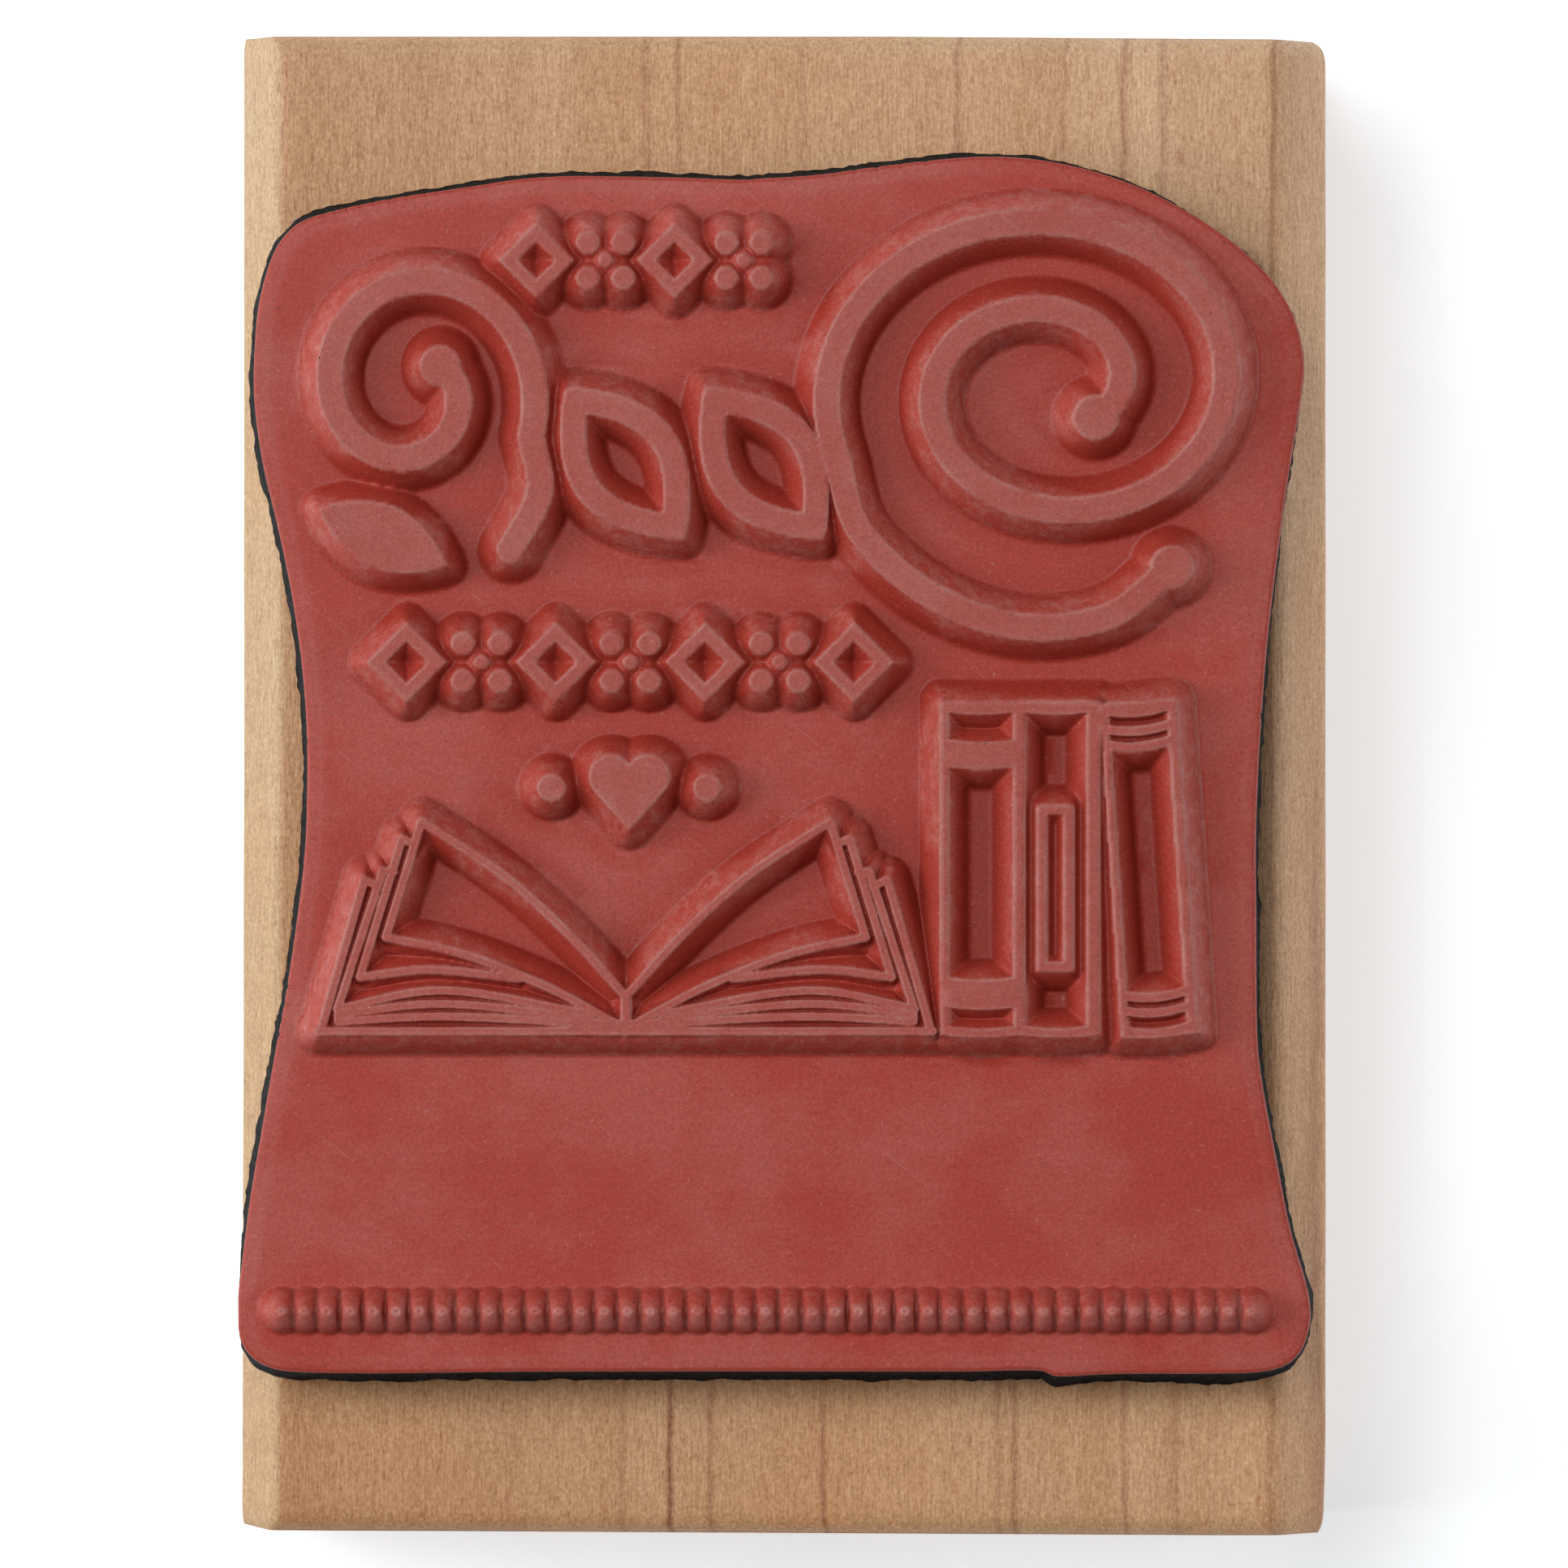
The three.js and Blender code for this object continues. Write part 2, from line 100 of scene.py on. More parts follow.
# Grid over the die: coarse spacing, and finer stretches (low, high, spacing) over the dots and the books.
# Flat squares of MERGE_CELLS cells a side become one face. OPEN_STEP is how far look_ahead steps from each
# point, and FAR stands for a distance with no shape near.
CELL = 0.135
FINE_X = ((-21.7, -16.6, 0.055), (-16.6, 1.9, 0.11), (1.9, 7.1, 0.055))
FINE_Y = ((-25.6, -23.1, 0.08), (-12.0, -9.2, 0.045), (-9.2, -1.2, 0.08), (1.9, 3.4, 0.045))
MERGE_CELLS = 4
OPEN_STEP = 1.6
FAR = 9.0

# Block edges, in mm. The corner shares say how far the rounding of each end also draws in the long sides.
BEVEL_LEFT = 1.6
BEVEL_RIGHT = 2.25
BEVEL_DROP = 2.7
COVE_DEPTH = 0.9
COVE_LOW_Z = 4.2
COVE_HIGH_Z = 12.8
CORNER_LEFT = 0.12
CORNER_RIGHT_FAR = 0.7
CORNER_RIGHT_NEAR = 0.28
END_RADIUS = 1.0
END_INSET = 0.78

# Darker growth lines on the face of the block, beyond each end of the die: (x, half width, strength).
FAR_LINES = (
    (-6.4, 0.16, 0.9), (-4.9, 0.18, 0.5), (1.0, 0.3, 0.2), (8.3, 0.15, 0.9), (13.2, 0.22, 0.35),
    (15.85, 0.17, 1.0), (17.5, 0.18, 0.8), (22.8, 0.2, 0.6),
)
NEAR_LINES = (
    (-7.5, 0.2, 0.35), (-5.4, 0.16, 0.95), (-3.55, 0.15, 0.8), (2.0, 0.18, 1.0), (10.2, 0.14, 0.8),
    (10.9, 0.15, 1.0), (16.0, 0.18, 0.6), (18.45, 0.15, 0.8), (22.8, 0.22, 0.35), (24.35, 0.2, 0.5),
)
LINE_SPAN = 60.0

# Studio: lights as (place, size) in metres and power in watts, a faintly glowing white floor, and the
# camera's distance and frame in mm.
LIGHTS = {
    "key": ((-0.65, 0.05, 0.36), (0.40, 0.40), 3.08),
    "top": ((-0.22, 0.21, 0.70), (0.35, 0.35), 3.0),
    "fill": ((0.73, 0.02, 0.22), (0.35, 0.40), 1.62),
}
LIGHT_TARGET = (0, 0, 0.01)
WORLD_STRENGTH = 0.1
FLOOR_GLOW = 0.55
FLOOR_REACH = 3000.0
CAMERA_DISTANCE = 600.0
FRAME_WIDTH = 73.57
FRAME_SHIFT = (-0.04, 0.06)

random = np.random.default_rng(7)


# ---- Curves ------------------------------------------------------------------------------------


def polar(degrees, length=1.0):
    angle = np.radians(degrees)
    return np.stack([np.cos(angle), np.sin(angle)], -1) * length


def smooth_curve(points, spacing, closed=False):
    """Centripetal Catmull-Rom curve through the points, with about `spacing` between samples."""
    p = np.asarray(points, float)
    if closed:
        p = np.vstack([p[-1], p, p[0], p[1]])
    else:
        p = np.vstack([2 * p[0] - p[1], p, 2 * p[-1] - p[-2]])
    out = []
    for i in range(1, len(p) - 2):
        a, b, c, d = p[i - 1 : i + 3]
        ta = 0.0
        tb = ta + max(math.sqrt(np.linalg.norm(b - a)), 1e-6)
        tc = tb + max(math.sqrt(np.linalg.norm(c - b)), 1e-6)
        td = tc + max(math.sqrt(np.linalg.norm(d - c)), 1e-6)
        count = max(1, round(np.linalg.norm(c - b) / spacing))
        t = (tb + (tc - tb) * np.arange(count) / count)[:, None]
        ab = ((tb - t) * a + (t - ta) * b) / (tb - ta)
        bc = ((tc - t) * b + (t - tb) * c) / (tc - tb)
        cd = ((td - t) * c + (t - tc) * d) / (td - tc)
        abc = ((tc - t) * ab + (t - ta) * bc) / (tc - ta)
        bcd = ((td - t) * bc + (t - tb) * cd) / (td - tb)
        out.append(((tc - t) * abc + (t - tb) * bcd) / (tc - tb))
    if not closed:
        out.append(p[-2][None])
    return np.vstack(out)


def die_outline(spacing):
    """The cut edge of the die, counter-clockwise, through the corners of its CAD layer."""
    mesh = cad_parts["die_adhesive_film"].data
    points = np.array([v.co for v in mesh.vertices]) / MM
    rim = points[points[:, 2] < points[:, 2].min() + 0.01][:, :2]
    rim = np.unique(np.round(rim, 4), axis=0)
    rim = rim[np.argsort(np.arctan2(rim[:, 1], rim[:, 0]))]
    return smooth_curve(rim, spacing, closed=True)


def bell(distance, width):
    """1 at zero distance, falling smoothly to nothing over about twice the width."""
    return np.exp(-((distance / width) ** 2))


def outward_normals(loop):
    """Unit normals of a counter-clockwise closed loop."""
    along = np.roll(loop, -1, 0) - np.roll(loop, 1, 0)
    along /= np.linalg.norm(along, axis=1, keepdims=True) + 1e-12
    return np.stack([along[:, 1], -along[:, 0]], -1)


# ---- The design, as groups of printing faces ---------------------------------------------------
# A group is a list of ("line", points, half width) and ("face", outline, holes) entries.


def line(points, width):
    return ("line", np.asarray(points, float), width / 2)


def face(outline, *holes):
    return ("face", np.asarray(outline, float), [np.asarray(h, float) for h in holes])


def volute(centre, radii, start, end, inner):
    t = np.linspace(0, 1, 260)
    points = polar(start + (end - start) * t) * (1 + (inner - 1) * t)[:, None]
    return points * radii + centre


def stud(centre, radius):
    return line([centre, np.add(centre, (0.001, 0))], 2 * radius)


def leaf(centre, length, width, degrees):
    t = np.arange(60) / 30
    across = np.sign(t - 1) * np.abs(np.sin(np.pi * t)) ** 0.85 * width / 2
    along = (0.5 - np.abs(1 - t)) * length
    c, s = math.cos(math.radians(degrees)), math.sin(math.radians(degrees))
    return np.stack([along * c - across * s, along * s + across * c], -1) + centre


def hollow_leaf(centre, degrees):
    inner = leaf(centre, LEAF_LENGTH - 2.6 * SCROLL_WIDTH, LEAF_WIDTH - 2 * SCROLL_WIDTH, degrees)
    return [face(leaf(centre, LEAF_LENGTH, LEAF_WIDTH, degrees), inner)]


def scrollwork():
    large = volute((12.4, 18.4), (10.7, 8.9), 200, -400, 0.24)
    tail = smooth_curve(
        [[2.35, 15.36], [3.4, 11.9], [6.6, 8.9], [11.0, 7.35], [15.1, 7.9], [17.9, 10.1]], 0.2
    )
    small = volute((-17.2, 18.3), (5.8, 6.2), -20, 400, 0.28)
    stem = smooth_curve([[-11.75, 16.18], [-11.35, 13.6], [-12.7, 10.9]], 0.2)
    return [
        [line(large, SCROLL_WIDTH), stud(large[-1], 1.0), line(tail, SCROLL_WIDTH), stud(tail[-1], 0.95)],
        [line(small, SCROLL_WIDTH), stud(small[-1], 0.9), line(stem, SCROLL_WIDTH)],
        hollow_leaf((-7.4, 14.9), -52),
        hollow_leaf((-0.95, 14.9), -52),
        [face(leaf((-18.6, 11.5), 6.4, 2.9, -24))],
    ]


def diamond(centre, reach):
    corners = np.arange(4) * 90
    inner = reach - 2 * ORNAMENT_WIDTH * math.sqrt(0.5)
    return [face(polar(corners, reach) + centre, polar(corners, inner) + centre)]


def blossom(centre, reach):
    petals = [stud(polar(degrees, reach) + centre, 0.5) for degrees in (45, 135, 225, 315)]
    return petals + [stud(centre, 0.3)]


def ornament_row(first_x, y, pitch, count, reach):
    groups = []
    for i in range(count):
        centre = (first_x + i * pitch, y)
        groups.append(diamond(centre, reach) if i % 2 == 0 else blossom(centre, reach * 0.68))
    return groups


def heart(centre):
    arc = polar(np.arange(-40, 201, 8), 0.98) + (0.86, 0.62)
    right = np.vstack([arc, (0, -1.85)])
    left = (right * (-1, 1))[::-1]
    return [face(right + centre), face(left + centre)]


def small_motifs():
    rows = ornament_row(-11.5, 24.3, 3.2, 4, 1.7) + ornament_row(-17.5, 5.7, 3.45, 7, 1.8)
    return rows + [heart((-7.2, -0.2)), [stud((-10.8, -0.1), 0.6)], [stud((-3.6, -0.1), 0.6)]]


def open_book():
    """Cover, page edges and pages, one half mirrored about the gutter."""
    origin = np.array([-7.35, -11.38])
    cover = [line(np.array([[-14.2, 0], [14.2, 0]]) + origin, BOOK_WIDTH)]
    cover.append(line(np.array([[0, 0], [0, 1.7]]) + origin, GUTTER_WIDTH))
    meeting = [(-3.1, 0), (3.1, 0), (2.1, 0.6), (0.25, 0.5), (-0.25, 0.5), (-2.1, 0.6)]
    cover.append(face(np.array(meeting) + origin))
    groups = [cover]
    for side in (-1, 1):

        def stroke(*points, side=side):
            placed = np.array(points) * (-side, 1) + origin
            return line(smooth_curve(placed, 0.2) if len(points) > 2 else placed, BOOK_WIDTH)

        cover.append(stroke((-14.1, 0.05), (-12.1, 7.0)))
        cover.append(stroke((-12.1, 7.0), (-11.5, 6.75)))
        groups.append([stroke((-13.35, 1.0), (-11.25, 7.4)), stroke((-13.3, 0.5), (-13.3, 1.0))])
        groups[-1].append(stroke((-11.25, 7.4), (-10.75, 7.35)))
        groups.append([stroke((-12.3, 2.5), (-10.35, 8.9)), stroke((-10.35, 8.9), (-9.85, 8.7))])
        groups.append([stroke((-11.1, 4.35), (-9.45, 9.7))])
        groups[-1].append(stroke((-9.45, 9.7), (-5.65, 7.2), (-2.65, 4.5), (0, 1.6)))
        groups.append([stroke((-11.1, 4.35), (-7.65, 3.6), (-3.65, 2.05), (-0.35, 0.3))])
        groups.append([stroke((-12.3, 2.5), (-9.2, 2.85), (-4.95, 2.45))])
        groups.append([stroke((-13.3, 1.05), (-8.65, 1.88), (-1.65, 0.8))])
        groups.append([stroke((-13.3, 0.78), (-8.65, 1.26), (-1.65, 0.6))])
        groups.append([stroke((-13.3, 0.45), (-8.65, 0.68), (-1.65, 0.36))])
    return groups


def book_spines():
    origin = np.array([7.4, -11.65])

    def arc(start, end, sag):
        """Points from start to end that sag towards the foot of the book."""
        t = np.linspace(0, 1, 9)[:, None]
        return start + (np.array(end) - start) * t - (0, sag) * (4 * t * (1 - t))

    def band(left_low, right_low, right_high, left_high, low_sag, high_sag):
        low = arc(np.array(left_low), right_low, low_sag)
        return np.vstack([low, arc(np.array(right_high), left_high, high_sag)]) + origin

    def panel(left, bottom, right, top, low_sag=0.12, high_sag=0.12):
        return band((left, bottom), (right, bottom), (right, top), (left, top), low_sag, high_sag)

    def lean(y, x):
        return 8.2 - y / 15.5 + x, y

    rise = 0.25  # of the leaning book's lines, across its width

    def slot(low, high):
        corners = lean(low, 0.3), lean(low + rise, 3.1), lean(high + rise, 3.1), lean(high, 0.3)
        return band(*corners, 0.18, 0.18)

    left_foot = arc(np.array([-0.2, 0.12]), (3.45, 0.12), 0.12)
    right_foot = arc(np.array([3.45, 0.12]), (7.15, 0.12), 0.12)
    outline = np.vstack([left_foot, right_foot, [(7.15, 15.55), (-0.2, 15.55)]])
    pair = face(
        outline + origin,
        panel(0.15, 13.75, 3.2, 15.05),
        panel(0.15, 2.75, 3.2, 12.55),
        panel(0.2, 0.5, 3.25, 1.4),
        panel(3.7, 0.5, 6.6, 15.05),
    )
    label = face(panel(4.25, 3.05, 5.95, 10.7, 0, 0), panel(4.68, 3.45, 5.52, 10.32, 0, 0))
    border = band(lean(0, 0), lean(rise, 3.5), lean(15.65, 3.5), lean(15.4, 0), 0.12, 0.0)
    slots = [(14.42, 14.88), (13.7, 14.02), (2.1, 13.3), (1.38, 1.7), (0.45, 1.0)]
    leaning = face(border, *[slot(low, high) for low, high in slots])
    return [[pair], [label], [leaning]]


# ---- Distance fields ---------------------------------------------------------------------------


def segment_distance(x, y, a, b):
    dx, dy = b - a
    t = ((x - a[0]) * dx + (y - a[1]) * dy) / (dx * dx + dy * dy + 1e-12)
    t = np.clip(t, 0, 1)
    return np.hypot(x - a[0] - t * dx, y - a[1] - t * dy)


def polygon_distance(x, y, outline):
    """Signed distance to a closed outline: negative inside."""
    distance = np.full(x.shape, 1e9)
    inside = np.zeros(x.shape, bool)
    for a, b in zip(outline, np.roll(outline, -1, 0)):
        distance = np.minimum(distance, segment_distance(x, y, a, b))
        crosses = (a[1] > y) != (b[1] > y)
        rise = b[1] - a[1] if b[1] != a[1] else 1e-12
        inside ^= crosses & (x < (b[0] - a[0]) * (y - a[1]) / rise + a[0])
    return np.where(inside, -distance, distance)


def window(xs, ys, points, reach):
    low, high = points.min(0) - reach, points.max(0) + reach
    i = slice(np.searchsorted(xs, low[0]), np.searchsorted(xs, high[0]))
    j = slice(np.searchsorted(ys, low[1]), np.searchsorted(ys, high[1]))
    return i, j


def design_distance(groups, xs, ys, x, y):
    """Distances from each grid point to the nearest and the second nearest printing face."""
    nearest = np.full(x.shape, FAR)
    second = np.full(x.shape, FAR)
    reach = 2.0
    for group in groups:
        distance = np.full(x.shape, FAR)
        across = np.full(x.shape, FAR)
        for kind, points, detail in group:
            if kind == "line":
                for a, b in zip(points[:-1], points[1:]):
                    w = window(xs, ys, np.array([a, b]), detail + reach)
                    here = segment_distance(x[w], y[w], a, b) - detail
                    distance[w] = np.minimum(distance[w], here)
                continue
            w = window(xs, ys, points, reach)
            here = polygon_distance(x[w], y[w], points)
            for hole in detail:
                depth = -polygon_distance(x[w], y[w], hole)
                across[w] = np.where(depth > 0, 2 * depth.max() - depth, across[w])
                here = np.maximum(here, depth)
            distance[w] = np.minimum(distance[w], here)
        second = np.minimum(second, np.maximum(nearest, distance))
        second = np.minimum(second, np.where(distance <= nearest, across, FAR))
        nearest = np.minimum(nearest, distance)
    return nearest, second


def shoulder_height(nearest, second):
    """Height over the sheet: straight slopes that steepen near the foot and in grooves, then a fillet."""
    gap = np.maximum(nearest, 0) + np.maximum(second, 0)
    t = np.maximum(nearest, 0) / SHOULDER * (1 + GROOVE_STEEPNESS * bell(gap, GROOVE_WIDTH))
    inner = 1 - (1 - SHOULDER_CURVE) * t - SHOULDER_CURVE * t**3
    outer = -(1 + 2 * SHOULDER_CURVE) * (t - 1)
    height = RELIEF * np.where(t < 1, inner, outer)
    height = np.where(nearest <= 0, RELIEF, (height + np.sqrt(height**2 + FOOT_FILLET**2)) / 2)
    return np.minimum(height, RELIEF)


def dot_height(x, y):
    """A row of touching rounded cones, each with a small flat top and a dimple in it."""
    pitch = (DOT_LAST_X - DOT_FIRST_X) / (DOT_COUNT - 1)
    index = np.clip(np.round((x - DOT_FIRST_X) / pitch), 0, DOT_COUNT - 1)
    radius = np.hypot(x - DOT_FIRST_X - index * pitch, y - DOT_Y)
    t = np.clip((radius - DOT_FLAT) / (DOT_RADIUS - DOT_FLAT), 0, 1.3)
    height = RELIEF * (1 - (1 - DOT_CURVE) * t - DOT_CURVE * t**3)
    dimple = DIMPLE_DEPTH * bell(radius, DIMPLE_RADIUS)
    seam = pitch / 2 - np.abs(x - DOT_FIRST_X - index * pitch)
    seam = np.where((x < DOT_FIRST_X) | (x > DOT_LAST_X), FAR, seam)
    height -= SEAM_DEPTH * bell(seam, SEAM_WIDTH) * np.clip(height, 0, 1)
    return (height + np.sqrt(height**2 + DOT_FILLET**2)) / 2 - dimple, radius, seam


# ---- Rubber die --------------------------------------------------------------------------------


def grid_axis(low, high, fine):
    """Increasing coordinates from low to high, closer together inside the fine stretches."""
    out = [low]
    while out[-1] < high:
        inside = [spacing for a, b, spacing in fine if a <= out[-1] < b]
        out.append(out[-1] + min(inside + [CELL]))
    return np.array(out)


def snap(distance, xs, ys, x, y):
    """Moves the grid points next to the zero line of a distance field onto it, one per crossed edge."""
    gx, gy = np.gradient(distance, xs, ys)
    length = np.hypot(gx, gy) + 1e-9
    step = np.minimum.outer(np.gradient(xs), np.gradient(ys))
    size = np.abs(distance)
    near = size <= 0.42 * step
    for lower, upper in (
        ((slice(None, -1), slice(None)), (slice(1, None), slice(None))),
        ((slice(None), slice(None, -1)), (slice(None), slice(1, None))),
    ):
        open_edge = (distance[lower] * distance[upper] < 0) & ~near[lower] & ~near[upper]
        first = size[lower] <= size[upper]
        near[lower] |= open_edge & first
        near[upper] |= open_edge & ~first
    near &= (length > 0.6) & (size < step)
    x = np.where(near, x - distance * gx / length, x)
    y = np.where(near, y - distance * gy / length, y)
    return x, y, near


def outline_distance(outline, xs, ys, x, y):
    """Distance inside the cut edge: positive inside, exact only near the edge."""
    distance = np.full(x.shape, FAR)
    for a, b in zip(outline, np.roll(outline, -1, 0)):
        w = window(xs, ys, np.array([a, b]), 2 * DROOP_WIDTH)
        distance[w] = np.minimum(distance[w], segment_distance(x[w], y[w], a, b))
    inside = np.zeros(x.shape, bool)
    ends = np.roll(outline, -1, 0)
    for j, row in enumerate(ys):
        hit = (outline[:, 1] > row) != (ends[:, 1] > row)
        a, b = outline[hit], ends[hit]
        crossings = np.sort(a[:, 0] + (row - a[:, 1]) * (b[:, 0] - a[:, 0]) / (b[:, 1] - a[:, 1]))
        inside[:, j] = np.searchsorted(crossings, xs) % 2 == 1
    return np.where(inside, distance, -distance)


def look_ahead(nearest, xs, ys, x, y):
    """How much further from every face a step away from the nearest leads: small in pits and grooves."""
    gx, gy = np.gradient(nearest, xs, ys)
    i = np.clip(np.searchsorted(xs, x + OPEN_STEP * gx), 0, len(xs) - 1)
    j = np.clip(np.searchsorted(ys, y + OPEN_STEP * gy), 0, len(ys) - 1)
    return nearest[i, j] - nearest


def die_fields(outline):
    """Grid of the die's upper surface: positions, heights and the masks that drive its material."""
    low, high = outline.min(0) - 2 * CELL, outline.max(0) + 2 * CELL
    xs = grid_axis(low[0], high[0], FINE_X)
    ys = grid_axis(low[1], high[1], FINE_Y)
    x, y = np.meshgrid(xs, ys, indexing="ij")
    inset = outline_distance(outline, xs, ys, x, y) - EDGE_ROUND
    x, y, rim = snap(inset, xs, ys, x, y)
    inset = np.where(rim, 0.0, inset)
    groups = scrollwork() + small_motifs() + open_book() + book_spines()
    nearest, _ = design_distance(groups, xs, ys, x, y)
    x, y, edge = snap(np.where(rim, FAR, nearest), xs, ys, x, y)
    nearest, second = design_distance(groups, xs, ys, x, y)
    nearest = np.where(edge, 0.0, nearest)
    ahead = look_ahead(nearest, xs, ys, x, y)
    relief = shoulder_height(nearest, second)
    domes, radius, seam = dot_height(x, y)
    relief = np.maximum(relief, domes)
    relief = np.where(relief < 0.004, 0.0, relief)
    droop = EDGE_DROOP * np.clip(1 - (inset + EDGE_ROUND) / DROOP_WIDTH, 0, 1) ** 2
    height = relief - np.where(relief > 0, 0, droop)
    return {
        "x": x, "y": y, "inset": inset, "nearest": nearest, "second": second,
        "relief": relief, "height": height, "radius": radius, "seam": seam, "ahead": ahead,
        "moved": rim | edge,
    }


def grid_faces(f):
    """Polygons over the grid: wide flat areas become large faces, the rest triangles along the edges."""
    nx, ny = f["x"].shape
    number = np.arange(nx * ny).reshape(nx, ny)
    inset, height, nearest = f["inset"], f["height"], f["nearest"]
    n = MERGE_CELLS
    bx, by = (nx - 1) // n, (ny - 1) // n
    flat = np.ones((bx, by), bool)
    for i in range(n + 1):
        for j in range(n + 1):
            part = (slice(i, i + bx * n, n), slice(j, j + by * n, n))
            same = np.abs(height[part] - height[0 : bx * n : n, 0 : by * n : n]) < 1e-9
            flat &= same & ~f["moved"][part] & (inset[part] > 0)
    polygons = []
    padded = np.pad(flat, 1)
    for bi, bj in zip(*np.nonzero(flat)):
        i, j = bi * n, bj * n
        steps = np.arange(1, n)
        ring = [number[i, j]]
        if not padded[bi + 1, bj]:
            ring += list(number[i + steps, j])
        ring.append(number[i + n, j])
        if not padded[bi + 2, bj + 1]:
            ring += list(number[i + n, j + steps])
        ring.append(number[i + n, j + n])
        if not padded[bi + 1, bj + 2]:
            ring += list(number[i + n - steps, j + n])
        ring.append(number[i, j + n])
        if not padded[bi, bj + 1]:
            ring += list(number[i, j + n - steps])
        polygons.append([int(v) for v in ring])
    fine = np.ones((nx - 1, ny - 1), bool)
    merged = np.repeat(np.repeat(flat, n, 0), n, 1)
    fine[: merged.shape[0], : merged.shape[1]] &= ~merged
    a, b = number[:-1, :-1], number[1:, :-1]
    c, d = number[1:, 1:], number[:-1, 1:]
    out = (inset < 0).ravel()
    sign = np.sign(nearest).ravel()
    level = height.ravel()
    corners = np.stack([a[fine], b[fine], c[fine], d[fine]], -1)
    outside = out[corners]
    whole = corners[outside.sum(1) == 0]
    s, h = sign[whole], level[whole]
    px, py = f["x"].ravel()[whole], f["y"].ravel()[whole]

    def area(i, j, k):
        """Twice the signed area of the triangle over three corners of each cell."""
        ux, uy = px[:, j] - px[:, i], py[:, j] - py[:, i]
        return ux * (py[:, k] - py[:, i]) - uy * (px[:, k] - px[:, i])

    thin = 0.08 * CELL**2
    ac_folds = np.minimum(area(0, 1, 2), area(0, 2, 3)) < thin
    bd_folds = np.minimum(area(0, 1, 3), area(1, 2, 3)) < thin
    ac_blocked = (s[:, 0] * s[:, 2] < 0) + 2 * ac_folds
    bd_blocked = (s[:, 1] * s[:, 3] < 0) + 2 * bd_folds
    ac_better = np.abs(h[:, 0] - h[:, 2]) <= np.abs(h[:, 1] - h[:, 3])
    use_ac = (ac_blocked < bd_blocked) | ((ac_blocked == bd_blocked) & ac_better)
    q = whole[use_ac]
    triangles = [q[:, [0, 1, 2]], q[:, [0, 2, 3]]]
    q = whole[~use_ac]
    triangles += [q[:, [0, 1, 3]], q[:, [1, 2, 3]]]
    cut = outside.sum(1) == 1
    for k in range(4):
        q = corners[cut & outside[:, k]]
        triangles.append(q[:, [(k + 1) % 4, (k + 2) % 4, (k + 3) % 4]])
    return polygons + np.vstack(triangles).tolist()


def border_loop(polygons):
    """Vertices along the open border of a set of polygons, in order."""
    following = {}
    for polygon in polygons:
        for a, b in zip(polygon, polygon[1:] + polygon[:1]):
            following[(a, b)] = True
    step = {a: b for a, b in following if (b, a) not in following}
    start = next(iter(step))
    loop, at = [start], step[start]
    while at != start:
        loop.append(at)
        at = step[at]
    return loop


def set_values(mesh, name, values):
    layer = mesh.attributes.new(name, "FLOAT", "POINT")
    layer.data.foreach_set("value", np.asarray(values, np.float32))


def new_piece(name, vertices, polygons, smooth=True):
    mesh = bpy.data.meshes.new(name)
    mesh.from_pydata((np.asarray(vertices) * MM).tolist(), [], polygons)
    mesh.update()
    mesh.polygons.foreach_set("use_smooth", [smooth] * len(mesh.polygons))
    piece = bpy.data.objects.new(name, mesh)
    bpy.context.scene.collection.objects.link(piece)
    return piece


def build_die(outline):
    """Closed sheet: the relief on top, a rounded rim, and straight sides down to the adhesive."""
    f = die_fields(outline)
    polygons = grid_faces(f)
    used = np.unique(np.concatenate([np.array(p) for p in polygons]))
    renumber = np.full(f["x"].size, -1)
    renumber[used] = np.arange(len(used))
    polygons = [renumber[p].tolist() for p in polygons]

    def pick(key):
        return f[key].ravel()[used]

    top = np.stack([pick("x"), pick("y"), SHEET_TOP + pick("height")], -1)
    loop = border_loop(polygons)
    rim = top[loop]
    normals = outward_normals(rim[:, :2])
    floor_z = die_low[2]
    levels = [(outward, rim[:, 2] + drop) for outward, drop in RIM_PROFILE]
    levels += [(EDGE_ROUND, (SHEET_TOP + floor_z) / 2), (EDGE_ROUND, floor_z)]
    vertices, count = [top], len(loop)
    start = len(top)
    above = np.array(loop)
    for outward, z in levels:
        ring = rim.copy()
        ring[:, :2] += normals * outward
        ring[:, 2] = z
        vertices.append(ring)
        here = start + np.arange(count)
        polygons += np.stack([above, here, np.roll(here, -1), np.roll(above, -1)], -1).tolist()
        above, start = here, start + count
    polygons.append(above[::-1].tolist())
    piece = new_piece("rubber_die_relief", np.vstack(vertices), polygons)
    set_masks(piece.data, pick, len(levels) * count)
    return piece


